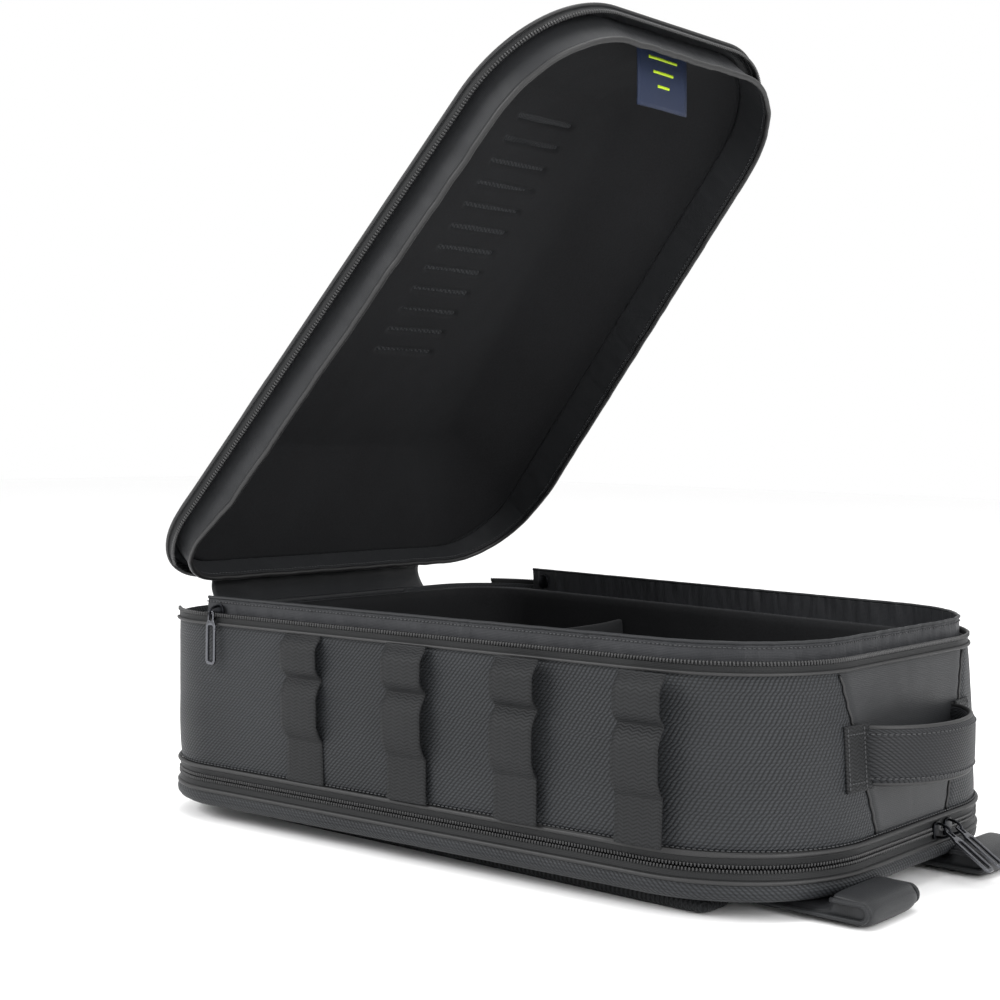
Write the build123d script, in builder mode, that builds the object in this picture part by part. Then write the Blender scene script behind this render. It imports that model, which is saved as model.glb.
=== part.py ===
from build123d import *
import math
import os

# Drone carrying case: a semi-rigid backpack that lies on its back, with a moulded lid that zips
# to the rim, foam-lined bays inside, and a zipped laptop compartment under the bays.
# Millimetres. +Z is up, +X points to the end with the grab handle, -Y is the near long side.
# The origin is on the floor, under the middle of the case.

# ---- outlines: round-cornered trapezoids, a little narrower at the handle end ----
RIM_LENGTH = 490.0
RIM_HINGE_WIDTH = 364.0
RIM_HANDLE_WIDTH = 318.0
RIM_HINGE_RADIUS = 60.0
RIM_HANDLE_RADIUS = 88.0
FOOT_LENGTH = 506.0
FOOT_HINGE_WIDTH = 350.0
FOOT_HANDLE_WIDTH = 322.0
FOOT_HINGE_RADIUS = 62.0
FOOT_HANDLE_RADIUS = 94.0

# ---- heights ----
STRAP_THICKNESS = 9.0
PANEL_LIFT = 10.0
PANEL_TOP = 24.0
GUSSET_TOP = 37.0
ZIP_TAPE = 6.4
ZIP_GAP = 1.2
RIM_ZIP_PLANE = 146.0
LID_EDGE_HEIGHT = 11.0
LID_CROWN_HEIGHT = 60.0
LID_SLOPE = 31.0
CROWN_HINGE_RADIUS = 25.0
CROWN_HANDLE_RADIUS = 45.0

# ---- walls and clearances ----
WALL = 3.0
SHELL = 3.0
TAPE = 2.0
TAPE_INSET = 0.3
LIP = 1.2
LIP_GAP = 0.8
LIP_HEIGHT = 9.0
LIP_ROOT = 20.0
FLANGE = 1.5
FLANGE_GAP = 1.8
FLANGE_DROP_HINGE = 2.0
FLANGE_DROP_HANDLE = 16.0
FLANGE_SLOPE_END = -150.0
BEAD_WIDTH = 2.8
BEAD_HEIGHT = 3.0
LINER_GAP = 1.8
LINER = 4.0
LINER_TOP = 138.0
LINER_STEP = 112.0
BOARD = 3.0
FLOOR_PAD = 6.0
LID_EDGE_ROUND = 6.0
PIPING = 1.3
PIPING_HEIGHT = 2.6
CLEAR = 0.3
MOVE_GAP = 0.5

# ---- lid hinge: a strip of webbing outside the hinge end ----
HINGE_OUT = 12.0
HINGE_RISE = 9.0
STRIP_WIDTH = 220.0
STRIP = 1.8
STRIP_BEAD = 2.4
LID_OPEN = 50.0

# ---- embossed ribs of the lid lining ----
RIB_COUNT = 12
RIB_PITCH = 18.7
RIB_WIDTH = 4.0
RIB_LENGTH = 60.0
RIB_DEPTH = 0.9
RIB_FIRST = -68.0

# ---- bays ----
DIVIDER_X = -78.0
DIVIDER = 10.0
DIVIDER_TOP = 126.0
HOLD_STRAP_X = 38.0
HOLD_STRAP_WIDTH = 50.0
HOLD_STRAP = 2.0
HOLD_STRAP_TOP = 132.0

# ---- propeller loops ----
BAND_WIDTH = 31.0
BAND = 1.2
BAND_CENTRES = (-94.0, -7.0, 78.0, 165.0)
BAND_BULGE = 6.1
BAND_TOP = 137.5
UPPER_LOOP = (135.0, 110.0)
LOWER_LOOP = (107.0, 69.0)
BAND_FOOT = 40.5
BAND_RISE = 6.0

# ---- grab handle ----
SEAM_TOP_HALF = 80.0
SEAM_FOOT_HALF = 44.0
HANDLE_HEIGHT = 88.0
HANDLE_WIDTH = 34.0
HANDLE_SPAN = 116.0
HANDLE_REACH = 33.0
HANDLE = 6.0
HANDLE_TAB = 22.0
HANDLE_TAB_THICKNESS = 2.0

# ---- sliders and pulls ----
SLIDER_LENGTH = 9.0
SLIDER_WIDTH = 11.5
PLATE = 1.8
INNER_PLATE = 1.6
WEB_LENGTH = 5.0
WEB = 0.6
BAIL_WIDTH = 3.0
BAIL_SPAN = 9.0
BAIL_BAR = 1.4
PIVOT_OUT = 8.7
PULL_PIN = 0.8
PULL_ROOM = 1.45
PULL_LENGTH = 36.0
PULL_WIDTH = 9.0
PULL_RAIL = 1.7
PULL_THICKNESS = 1.6
RIM_SLIDER_X = -172.0
LOWER_SLIDERS_Y = (28.0, 43.0)
LOWER_PULL_TILT = 56.0

# ---- carrying side ----
PAD_LENGTH = 400.0
CENTRE_PAD_WIDTH = 60.0
SIDE_PAD_WIDTH = 36.0
SIDE_PAD_Y = 128.0
STRAP_Y = 76.0
STRAP_WIDTH = 62.0
STRAP_TAIL_WIDTH = 50.0
STRAP_REACH = 30.0
STRAP_TAIL_X = -70.0
WEBBING_WIDTH = 25.0
WEBBING = 2.0
LADDER_LENGTH = 26.0
LADDER_WIDTH = 34.0
LADDER = 6.0
WEBBING_END_X = -215.0
PANEL_EDGE = 6.0

# ---- label ----
LABEL_WIDTH = 58.0
LABEL_LENGTH = 46.0
LABEL = 1.0
LABEL_OFFSET = 3.0
LABEL_DEPTH = 9.0
LABEL_Y = -1.0

BOARD_TOP = GUSSET_TOP + BOARD
FLOOR_TOP = BOARD_TOP + FLOOR_PAD
LOWER_ZIP_PLANE = (PANEL_TOP + GUSSET_TOP) / 2
RIM_WALL_TOP = RIM_ZIP_PLANE - ZIP_GAP / 2 - ZIP_TAPE
LID_WALL_FOOT = RIM_ZIP_PLANE + ZIP_GAP / 2 + ZIP_TAPE
INNER_PLATE_INSET = TAPE_INSET + TAPE + CLEAR + INNER_PLATE
LIP_INSET = INNER_PLATE_INSET + LIP_GAP
FLANGE_INSET = LIP_INSET + LIP + FLANGE_GAP
LINER_INSET = FLANGE_INSET + FLANGE + LINER_GAP
HINGE_X = -RIM_LENGTH / 2 - HINGE_OUT
HINGE_Z = RIM_ZIP_PLANE + HINGE_RISE
HINGE_AXIS = Axis((HINGE_X, 0, HINGE_Z), (0, -1, 0))
FAR_AWAY = 2 * RIM_LENGTH

os.makedirs("parts", exist_ok=True)


def keep(builder, name):
    """Label a finished piece and write it to its own file."""
    builder.part.label = name
    export_step(builder.part, f"parts/{name}.step")


def outline(length, hinge_width, handle_width, hinge_radius, handle_radius, inset):
    """A level of the case: its trapezoid with round corners, drawn in by the inset."""
    half = length / 2
    corners = [
        (-half, -hinge_width / 2),
        (half, -handle_width / 2),
        (half, handle_width / 2),
        (-half, hinge_width / 2),
    ]
    with BuildSketch(mode=Mode.PRIVATE) as level:
        Polygon(*corners, align=None)
        fillet(level.vertices().group_by(Axis.X)[0], hinge_radius)
        fillet(level.vertices().group_by(Axis.X)[-1], handle_radius)
        if inset:
            offset(amount=-inset)
    return level.sketch


def rim_outline(inset=0.0):
    sizes = (RIM_LENGTH, RIM_HINGE_WIDTH, RIM_HANDLE_WIDTH, RIM_HINGE_RADIUS, RIM_HANDLE_RADIUS)
    return outline(*sizes, inset)


def foot_outline(inset=0.0):
    sizes = (FOOT_LENGTH, FOOT_HINGE_WIDTH, FOOT_HANDLE_WIDTH, FOOT_HINGE_RADIUS, FOOT_HANDLE_RADIUS)
    return outline(*sizes, inset)


def level_share(z):
    """0 at the foot of the side walls, 1 at their top."""
    return (z - GUSSET_TOP) / (RIM_WALL_TOP - GUSSET_TOP)


def wall_outline(z, inset=0.0):
    """The outline of the leaning side walls at a height."""
    share = level_share(z)
    rim = (RIM_LENGTH, RIM_HINGE_WIDTH, RIM_HANDLE_WIDTH, RIM_HINGE_RADIUS, RIM_HANDLE_RADIUS)
    foot = (FOOT_LENGTH, FOOT_HINGE_WIDTH, FOOT_HANDLE_WIDTH, FOOT_HINGE_RADIUS, FOOT_HANDLE_RADIUS)
    sizes = [low + (high - low) * share for low, high in zip(foot, rim)]
    return outline(*sizes, inset)


def side_y(x, z):
    """Distance of the long side's outer face from the middle plane."""
    share = level_share(z)
    length = FOOT_LENGTH + (RIM_LENGTH - FOOT_LENGTH) * share
    hinge_width = FOOT_HINGE_WIDTH + (RIM_HINGE_WIDTH - FOOT_HINGE_WIDTH) * share
    handle_width = FOOT_HANDLE_WIDTH + (RIM_HANDLE_WIDTH - FOOT_HANDLE_WIDTH) * share
    return (hinge_width + (handle_width - hinge_width) * (x / length + 0.5)) / 2


def wall_block(low, high, inset=0.0):
    """Everything inside the leaning side walls between two heights."""
    with BuildPart(mode=Mode.PRIVATE) as block:
        with BuildSketch(Plane.XY.offset(low)):
            add(wall_outline(low, inset))
        with BuildSketch(Plane.XY.offset(high)):
            add(wall_outline(high, inset))
        loft(ruled=True)
    return block.part


def ring(face, low, high, inset, thickness):
    """An upright band that follows an outline."""
    with BuildPart(mode=Mode.PRIVATE) as band:
        with BuildSketch(Plane.XY.offset(low)):
            add(face(inset))
            add(face(inset + thickness), mode=Mode.SUBTRACT)
        extrude(amount=high - low)
    return band.part


def above_profile(line):
    """Everything above a line that runs along the case as (x, z) points."""
    corners = line + [(line[-1][0], FAR_AWAY), (line[0][0], FAR_AWAY)]
    with BuildPart(mode=Mode.PRIVATE) as slab:
        with BuildSketch(Plane.XZ):
            Polygon(*corners, align=None)
        extrude(amount=FAR_AWAY / 2, both=True)
    return slab.part


def box_between(low, high):
    """A box from its lowest to its highest corner."""
    size = [b - a for a, b in zip(low, high)]
    middle = [(a + b) / 2 for a, b in zip(low, high)]
    return Pos(*middle) * Box(*size)


def across_box(x_low, x_high, half_width, z_low, z_high):
    return box_between((x_low, -half_width, z_low), (x_high, half_width, z_high))


def level_slab(z_low, z_high):
    """Everything between two heights."""
    return across_box(-FAR_AWAY, FAR_AWAY, FAR_AWAY, z_low, z_high)


def opened_point(x, z):
    """Where a point of the closed lid's middle plane lies in the lid's rest pose."""
    turn = math.radians(LID_OPEN)
    run = x - HINGE_X
    rise = z - HINGE_Z
    new_x = HINGE_X + run * math.cos(turn) - rise * math.sin(turn)
    new_z = HINGE_Z + run * math.sin(turn) + rise * math.cos(turn)
    return new_x, new_z


def opened(closed):
    """Turn a piece of the closed lid to the lid's rest pose."""
    return closed.rotate(HINGE_AXIS, LID_OPEN)


# ---- side walls: twill sides that wrap the corners, smooth panels at both ends ----
outer_block = wall_block(GUSSET_TOP, RIM_WALL_TOP)
inner_block = wall_block(GUSSET_TOP, RIM_WALL_TOP, WALL)


def end_region(direction):
    """The part of the walls between the two corner seams of one end."""
    corners = [
        (-SEAM_FOOT_HALF, GUSSET_TOP),
        (SEAM_FOOT_HALF, GUSSET_TOP),
        (SEAM_TOP_HALF, RIM_WALL_TOP),
        (-SEAM_TOP_HALF, RIM_WALL_TOP),
    ]
    with BuildPart(mode=Mode.PRIVATE) as region:
        with BuildSketch(Plane.YZ):
            Polygon(*corners, align=None)
        extrude(amount=direction * FAR_AWAY)
    return region.part


handle_region = end_region(1)
hinge_region = end_region(-1)

for name, region in (("handle_end_panel", handle_region), ("hinge_end_panel", hinge_region)):
    with BuildPart() as end_panel:
        add(outer_block)
        add(inner_block, mode=Mode.SUBTRACT)
        add(region, mode=Mode.INTERSECT)
    keep(end_panel, name)

for name, side in (("near_side_panel", -1), ("far_side_panel", 1)):
    with BuildPart() as side_panel:
        add(outer_block)
        add(inner_block, mode=Mode.SUBTRACT)
        add(handle_region, mode=Mode.SUBTRACT)
        add(hinge_region, mode=Mode.SUBTRACT)
        with BuildSketch(Plane.XY):
            with Locations((0, side * FAR_AWAY / 2)):
                Rectangle(2 * FAR_AWAY, FAR_AWAY)
        extrude(amount=FAR_AWAY, mode=Mode.INTERSECT)
    keep(side_panel, name)

# ---- inside of the case ----
bay_block = wall_block(BOARD_TOP, LINER_TOP, LINER_INSET + LINER)

with BuildPart() as base_board:
    add(inner_block)
    add(level_slab(GUSSET_TOP, BOARD_TOP), mode=Mode.INTERSECT)
keep(base_board, "base_board")

with BuildPart() as foam_liner:
    add(inner_block)
    add(level_slab(BOARD_TOP, LINER_STEP), mode=Mode.INTERSECT)
    with BuildSketch(Plane.XY.offset(LINER_STEP)):
        add(rim_outline(LINER_INSET))
    extrude(amount=LINER_TOP - LINER_STEP)
    add(bay_block, mode=Mode.SUBTRACT)
keep(foam_liner, "foam_liner")

with BuildPart() as floor_pad:
    add(bay_block)
    add(level_slab(BOARD_TOP, FLOOR_TOP), mode=Mode.INTERSECT)
keep(floor_pad, "floor_pad")

with BuildPart() as bay_divider:
    with BuildSketch(Plane.XZ):
        with Locations((DIVIDER_X, (FLOOR_TOP + DIVIDER_TOP) / 2)):
            Rectangle(DIVIDER, DIVIDER_TOP - FLOOR_TOP)
    extrude(amount=FAR_AWAY / 2, both=True)
    add(bay_block, mode=Mode.INTERSECT)
    fillet(bay_divider.edges().group_by(Axis.Z)[-1].filter_by(Axis.Y), 0.45 * DIVIDER)
keep(bay_divider, "bay_divider")

with BuildPart() as drone_strap:
    add(bay_block)
    add(level_slab(FLOOR_TOP, HOLD_STRAP_TOP), mode=Mode.INTERSECT)
    with BuildSketch(Plane.XY.offset(FLOOR_TOP + HOLD_STRAP)):
        add(wall_outline(FLOOR_TOP, LINER_INSET + LINER + HOLD_STRAP))
    with BuildSketch(Plane.XY.offset(HOLD_STRAP_TOP)):
        add(wall_outline(HOLD_STRAP_TOP, LINER_INSET + LINER + HOLD_STRAP))
    loft(ruled=True, mode=Mode.SUBTRACT)
    with BuildSketch(Plane.XY):
        with Locations((HOLD_STRAP_X, 0)):
            Rectangle(HOLD_STRAP_WIDTH, FAR_AWAY)
    extrude(amount=FAR_AWAY, mode=Mode.INTERSECT)
keep(drone_strap, "drone_strap")

# ---- rim: zip tape and the gathered lip inside it ----
ZIP_START_X = -RIM_LENGTH / 2 + RIM_HINGE_RADIUS / 3
hinge_end_cut = across_box(-FAR_AWAY, ZIP_START_X, FAR_AWAY, 0, FAR_AWAY)
LIP_START_X = -RIM_LENGTH / 2 + RIM_HINGE_RADIUS
lip_cut = across_box(-FAR_AWAY, LIP_START_X, FAR_AWAY, 0, FAR_AWAY)

with BuildPart() as rim_zip_body:
    add(ring(rim_outline, RIM_WALL_TOP, RIM_ZIP_PLANE - ZIP_GAP / 2, TAPE_INSET, TAPE))
    add(hinge_end_cut, mode=Mode.SUBTRACT)
keep(rim_zip_body, "rim_zip_body")

with BuildPart() as body_lip:
    add(ring(rim_outline, RIM_WALL_TOP - LIP_ROOT, RIM_ZIP_PLANE + LIP_HEIGHT, LIP_INSET, LIP))
    add(ring(rim_outline, RIM_WALL_TOP - LIP_ROOT, RIM_WALL_TOP - LIP_ROOT + LIP, WALL, LIP_INSET - WALL + LIP))
    add(lip_cut, mode=Mode.SUBTRACT)
    add(outer_block - inner_block, mode=Mode.SUBTRACT)
keep(body_lip, "body_lip")

# ---- fabric hinge of the lid, body half: runs up and out to a round bead on the hinge line ----
with BuildPart() as hinge_strip_body:
    with BuildSketch(Plane.XZ):
        with BuildLine():
            Polyline(
                (-RIM_LENGTH / 2 + STRIP, RIM_WALL_TOP),
                (-RIM_LENGTH / 2, RIM_WALL_TOP),
                (HINGE_X, HINGE_Z),
                (HINGE_X + STRIP / 2, HINGE_Z),
                close=True,
            )
        make_face()
        with Locations((HINGE_X, HINGE_Z)):
            Circle(STRIP_BEAD)
    extrude(amount=STRIP_WIDTH / 2, both=True)
keep(hinge_strip_body, "hinge_strip_body")

# ---- propeller loops: webbing stitched to the long sides, bulging where a blade slides in ----


def band_section():
    """Outer line of one band as (distance from the wall, height)."""
    tops = (BAND_TOP, UPPER_LOOP[0], UPPER_LOOP[0] - BAND_RISE, UPPER_LOOP[1] + BAND_RISE, UPPER_LOOP[1])
    lows = (LOWER_LOOP[0], LOWER_LOOP[0] - BAND_RISE, LOWER_LOOP[1] + BAND_RISE, LOWER_LOOP[1], BAND_FOOT)
    proud = BAND_BULGE + BAND
    outs = (BAND, BAND, proud, proud, BAND, BAND, proud, proud, BAND, BAND)
    return list(zip(outs, tops + lows))


def loop_hollow(top, low):
    """The room under one loop, as corner points."""
    room = [(0, top), (BAND_BULGE, top - BAND_RISE), (BAND_BULGE, low + BAND_RISE), (0, low)]
    return [(-2 * BAND, top)] + room + [(-2 * BAND, low)]


SIDE_LEAN = math.atan2((RIM_HINGE_WIDTH - RIM_HANDLE_WIDTH) / 2, RIM_LENGTH)


def band_plane(x, side):
    """Upright plane across one long side: x is outward, y is up."""
    outward = Vector(math.sin(SIDE_LEAN), side * math.cos(SIDE_LEAN), 0)
    return Plane(origin=(x, side * side_y(x, RIM_WALL_TOP), 0), x_dir=outward, z_dir=outward.cross(Vector(0, 0, 1)))


for side_name, side in (("near", -1), ("far", 1)):
    for number, x in enumerate(BAND_CENTRES, start=1):
        lean = side_y(x, BAND_FOOT) - side_y(x, RIM_WALL_TOP)

        def placed(points):
            """Shift points outward as far as the wall leans at their height."""
            return [(out + lean * (1 - level_share(z)), z) for out, z in points]

        root = [(-BAND, BAND_FOOT), (-BAND, BAND_TOP)]
        with BuildPart() as band:
            with BuildSketch(band_plane(x, side)):
                Polygon(*placed(band_section() + root), align=None)
                Polygon(*placed(loop_hollow(*UPPER_LOOP)), align=None, mode=Mode.SUBTRACT)
                Polygon(*placed(loop_hollow(*LOWER_LOOP)), align=None, mode=Mode.SUBTRACT)
            extrude(amount=BAND_WIDTH / 2, both=True)
            add(outer_block, mode=Mode.SUBTRACT)
        keep(band, f"propeller_loop_{side_name}_{number}")

# ---- grab handle: padded webbing that bows out between two sewn tabs ----
END_FACE = FOOT_LENGTH / 2 + (RIM_LENGTH - FOOT_LENGTH) / 2 * level_share(HANDLE_HEIGHT)
handle_low = HANDLE_HEIGHT - HANDLE_WIDTH / 2

with BuildPart() as grab_handle:
    with BuildSketch(Plane.XY.offset(handle_low)):
        with BuildLine():
            outer = ThreePointArc(
                (END_FACE, -HANDLE_SPAN / 2), (END_FACE + HANDLE_REACH, 0), (END_FACE, HANDLE_SPAN / 2)
            )
            inner = ThreePointArc(
                (END_FACE, -HANDLE_SPAN / 2 + HANDLE),
                (END_FACE + HANDLE_REACH - HANDLE, 0),
                (END_FACE, HANDLE_SPAN / 2 - HANDLE),
            )
            Line(outer @ 0, inner @ 0)
            Line(outer @ 1, inner @ 1)
        make_face()
    extrude(amount=HANDLE_WIDTH)
    chamfer(grab_handle.edges().filter_by(GeomType.CIRCLE), HANDLE / 4)
    add(outer_block, mode=Mode.SUBTRACT)
keep(grab_handle, "grab_handle")

with BuildPart() as handle_tabs:
    for side in (-1, 1):
        y_out = side * (HANDLE_SPAN / 2 + HANDLE_TAB)
        y_in = side * (HANDLE_SPAN / 2 + CLEAR)
        low = (END_FACE - WALL * 4, min(y_out, y_in), handle_low - HANDLE_TAB_THICKNESS)
        high = (END_FACE + WALL, max(y_out, y_in), handle_low + HANDLE_WIDTH + HANDLE_TAB_THICKNESS)
        add(box_between(low, high))
    add(wall_block(GUSSET_TOP, RIM_WALL_TOP, -HANDLE_TAB_THICKNESS), mode=Mode.INTERSECT)
    add(outer_block, mode=Mode.SUBTRACT)
keep(handle_tabs, "handle_tabs")

# ---- laptop compartment: zip gusset, the panel on the carrying side and its hinge strip ----
GUSSET_START_X = -FOOT_LENGTH / 2 + FOOT_HINGE_RADIUS / 3
gusset_cut = across_box(-FAR_AWAY, GUSSET_START_X, FAR_AWAY, 0, FAR_AWAY)

with BuildPart() as lower_zip_body:
    add(ring(foot_outline, LOWER_ZIP_PLANE + ZIP_GAP / 2, GUSSET_TOP, TAPE_INSET, TAPE))
    add(gusset_cut, mode=Mode.SUBTRACT)
keep(lower_zip_body, "lower_zip_body")

with BuildPart() as lower_zip_panel:
    add(ring(foot_outline, PANEL_TOP, LOWER_ZIP_PLANE - ZIP_GAP / 2, TAPE_INSET, TAPE))
    add(gusset_cut, mode=Mode.SUBTRACT)
keep(lower_zip_panel, "lower_zip_panel")

with BuildPart() as body_piping:
    add(ring(foot_outline, GUSSET_TOP, GUSSET_TOP + PIPING_HEIGHT, -PIPING, 2 * PIPING))
    add(outer_block, mode=Mode.SUBTRACT)
keep(body_piping, "body_piping")

with BuildPart() as back_panel:
    with BuildSketch(Plane.XY.offset(PANEL_LIFT)):
        add(foot_outline())
    extrude(amount=PANEL_TOP - PANEL_LIFT)
    chamfer(back_panel.edges().group_by(Axis.Z)[0], PANEL_EDGE)
keep(back_panel, "back_panel")

with BuildPart() as panel_piping:
    add(ring(foot_outline, PANEL_TOP - PIPING_HEIGHT, PANEL_TOP, -PIPING, PIPING))
keep(panel_piping, "panel_piping")

PANEL_HINGE_X = -FOOT_LENGTH / 2
STRIP_HALF = FOOT_HINGE_WIDTH / 2 - FOOT_HINGE_RADIUS
with BuildPart() as panel_strip_body:
    with BuildSketch(Plane.XZ):
        with Locations((PANEL_HINGE_X + STRIP / 2, (LOWER_ZIP_PLANE + GUSSET_TOP) / 2)):
            Rectangle(STRIP, GUSSET_TOP - LOWER_ZIP_PLANE)
        with Locations((PANEL_HINGE_X + STRIP / 2, LOWER_ZIP_PLANE)):
            Circle(STRIP_BEAD)
    extrude(amount=STRIP_HALF, both=True)
keep(panel_strip_body, "panel_strip_body")

with BuildPart() as panel_strip:
    with BuildSketch(Plane.XZ):
        with Locations((PANEL_HINGE_X + STRIP / 2, (LOWER_ZIP_PLANE + PANEL_TOP) / 2)):
            Rectangle(STRIP, LOWER_ZIP_PLANE - PANEL_TOP)
        with Locations((PANEL_HINGE_X + STRIP / 2, LOWER_ZIP_PLANE)):
            Circle(STRIP_BEAD + CLEAR, mode=Mode.SUBTRACT)
    extrude(amount=STRIP_HALF, both=True)
keep(panel_strip, "panel_strip")

# ---- carrying side: back pads and folded shoulder straps, which lie on the floor ----
with BuildPart() as back_pads:
    with BuildSketch(Plane.XY):
        RectangleRounded(PAD_LENGTH, CENTRE_PAD_WIDTH, CENTRE_PAD_WIDTH / 4)
        for side in (-1, 1):
            with Locations((0, side * SIDE_PAD_Y)):
                RectangleRounded(PAD_LENGTH, SIDE_PAD_WIDTH, SIDE_PAD_WIDTH / 4)
    extrude(amount=PANEL_LIFT)
    chamfer(back_pads.edges().group_by(Axis.Z)[0], PANEL_LIFT / 3)
keep(back_pads, "back_pads")

FOLD_X = FOOT_LENGTH / 2 + STRAP_REACH - STRAP_THICKNESS - CLEAR
FOLD_RADIUS = STRAP_THICKNESS + CLEAR
for side_name, side in (("near", -1), ("far", 1)):
    strap_y = side * STRAP_Y
    with BuildPart() as shoulder_strap:
        with BuildSketch(Plane.XZ.offset(-strap_y)):
            with Locations(((STRAP_TAIL_X + FOLD_X) / 2, STRAP_THICKNESS / 2)):
                Rectangle(FOLD_X - STRAP_TAIL_X, STRAP_THICKNESS)
            with Locations((FOLD_X, FOLD_RADIUS)):
                Circle(FOLD_RADIUS)
            with Locations(((FOOT_LENGTH / 2 + FOLD_X) / 2, FOLD_RADIUS + CLEAR + STRAP_THICKNESS / 2)):
                Rectangle(FOLD_X - FOOT_LENGTH / 2, STRAP_THICKNESS)
            with Locations(((FOOT_LENGTH / 2 + FOLD_X) / 2, FOLD_RADIUS)):
                Rectangle(FOLD_X - FOOT_LENGTH / 2, 2 * CLEAR, mode=Mode.SUBTRACT)
        extrude(amount=STRAP_WIDTH / 2, both=True)
        with BuildSketch(Plane.XY):
            with BuildLine():
                Polyline(
                    (STRAP_TAIL_X, strap_y - STRAP_TAIL_WIDTH / 2),
                    (FOOT_LENGTH / 4, strap_y - STRAP_WIDTH / 2),
                    (FOOT_LENGTH, strap_y - STRAP_WIDTH / 2),
                    (FOOT_LENGTH, strap_y + STRAP_WIDTH / 2),
                    (FOOT_LENGTH / 4, strap_y + STRAP_WIDTH / 2),
                    (STRAP_TAIL_X, strap_y + STRAP_TAIL_WIDTH / 2),
                    close=True,
                )
            make_face()
        extrude(amount=FAR_AWAY, mode=Mode.INTERSECT)
        fillet(shoulder_strap.edges().filter_by(Axis.Z).group_by(Axis.X)[0], STRAP_TAIL_WIDTH / 2.5)
    keep(shoulder_strap, f"shoulder_strap_{side_name}")

    ladder_x = STRAP_TAIL_X - LADDER_LENGTH / 2 - MOVE_GAP
    with BuildPart() as ladder_lock:
        with BuildSketch(Plane.XY):
            with Locations((ladder_x, strap_y)):
                RectangleRounded(LADDER_LENGTH, LADDER_WIDTH, LADDER_LENGTH / 8)
            with Locations((ladder_x - LADDER_LENGTH / 4, strap_y), (ladder_x + LADDER_LENGTH / 4, strap_y)):
                Rectangle(LADDER_LENGTH / 5, WEBBING_WIDTH + CLEAR, mode=Mode.SUBTRACT)
        extrude(amount=LADDER)
    keep(ladder_lock, f"ladder_lock_{side_name}")

    with BuildPart() as webbing:
        web_start = ladder_x - LADDER_LENGTH / 2 - MOVE_GAP
        with BuildSketch(Plane.XY):
            with Locations(((web_start + WEBBING_END_X) / 2, strap_y)):
                Rectangle(web_start - WEBBING_END_X, WEBBING_WIDTH)
        extrude(amount=WEBBING)
        with BuildSketch(Plane.XY):
            with Locations((WEBBING_END_X - WEBBING, strap_y)):
                Rectangle(2 * WEBBING, WEBBING_WIDTH)
        extrude(amount=PANEL_LIFT)
    keep(webbing, f"strap_webbing_{side_name}")

# ---- lid, built closed and then turned open about its hinge line ----
LID_CROWN = RIM_ZIP_PLANE + LID_CROWN_HEIGHT
LID_EDGE = RIM_ZIP_PLANE + LID_EDGE_HEIGHT
CROWN_INSET = (LID_CROWN - LID_EDGE) / math.tan(math.radians(LID_SLOPE))


def crown_outline():
    """The outline of the lid's flat crown, with its own corners."""
    widths = (RIM_HINGE_WIDTH - 2 * CROWN_INSET, RIM_HANDLE_WIDTH - 2 * CROWN_INSET)
    return outline(RIM_LENGTH - 2 * CROWN_INSET, *widths, CROWN_HINGE_RADIUS, CROWN_HANDLE_RADIUS, 0)


# the moulded lid's outer form: a low upright edge, an even slope all round and a flat crown
with BuildPart(mode=Mode.PRIVATE) as lid_hill:
    with BuildSketch(Plane.XY):
        add(rim_outline())
    extrude(amount=LID_EDGE)
    with BuildSketch(Plane.XY.offset(LID_EDGE)):
        add(rim_outline())
    with BuildSketch(Plane.XY.offset(LID_CROWN)):
        add(crown_outline())
    loft(ruled=True)


def lid_form(inset, drop, foot=LID_WALL_FOOT):
    """The room under the lid's outer form, drawn in by the inset and lowered by the drop."""
    with BuildPart(mode=Mode.PRIVATE) as form:
        with BuildSketch(Plane.XY.offset(foot)):
            add(rim_outline(inset))
        extrude(amount=LID_CROWN - foot)
        add(Pos(0, 0, -drop) * lid_hill.part, mode=Mode.INTERSECT)
    return form.part


# the rounded edge takes at most one and a half times the upright wall under it
lid_edge_radius = min(LID_EDGE_ROUND, 1.5 * (LID_EDGE - LID_WALL_FOOT))
with BuildPart(mode=Mode.PRIVATE) as rounded_form:
    add(lid_form(0.0, 0.0))
    edge_line = rounded_form.edges().filter_by_position(Axis.Z, LID_EDGE - CLEAR, LID_EDGE + CLEAR)
    fillet(edge_line, lid_edge_radius)

shell_inner = lid_form(SHELL, SHELL)
bowl_outer = lid_form(FLANGE_INSET, SHELL + CLEAR, RIM_ZIP_PLANE)
bowl_inner = lid_form(FLANGE_INSET + FLANGE, SHELL + CLEAR + FLANGE, RIM_ZIP_PLANE)
bowl_groove = lid_form(FLANGE_INSET + FLANGE, SHELL + CLEAR + FLANGE - RIB_DEPTH, RIM_ZIP_PLANE)

with BuildPart() as lid_shell:
    add(opened(rounded_form.part - shell_inner))
keep(lid_shell, "lid_shell")

with BuildPart(mode=Mode.PRIVATE) as rib_bars:
    for number in range(RIB_COUNT):
        with BuildSketch(Plane.XY.offset(RIM_ZIP_PLANE)):
            with Locations((RIB_FIRST + number * RIB_PITCH, 0)):
                SlotOverall(RIB_LENGTH, RIB_WIDTH, rotation=90)
        extrude(amount=LID_CROWN_HEIGHT)

with BuildPart() as lid_lining:
    add(opened(bowl_outer - bowl_inner - (rib_bars.part & bowl_groove)))
keep(lid_lining, "lid_lining")

FLANGE_FOOT = RIM_ZIP_PLANE - FLANGE_DROP_HANDLE
FLANGE_LINE = [
    (-RIM_LENGTH / 2, RIM_ZIP_PLANE - FLANGE_DROP_HINGE),
    (FLANGE_SLOPE_END, FLANGE_FOOT),
    (RIM_LENGTH / 2, FLANGE_FOOT),
]
above_flange_foot = above_profile(FLANGE_LINE)
above_bead_foot = above_profile([(x, z - BEAD_HEIGHT) for x, z in FLANGE_LINE])

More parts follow.
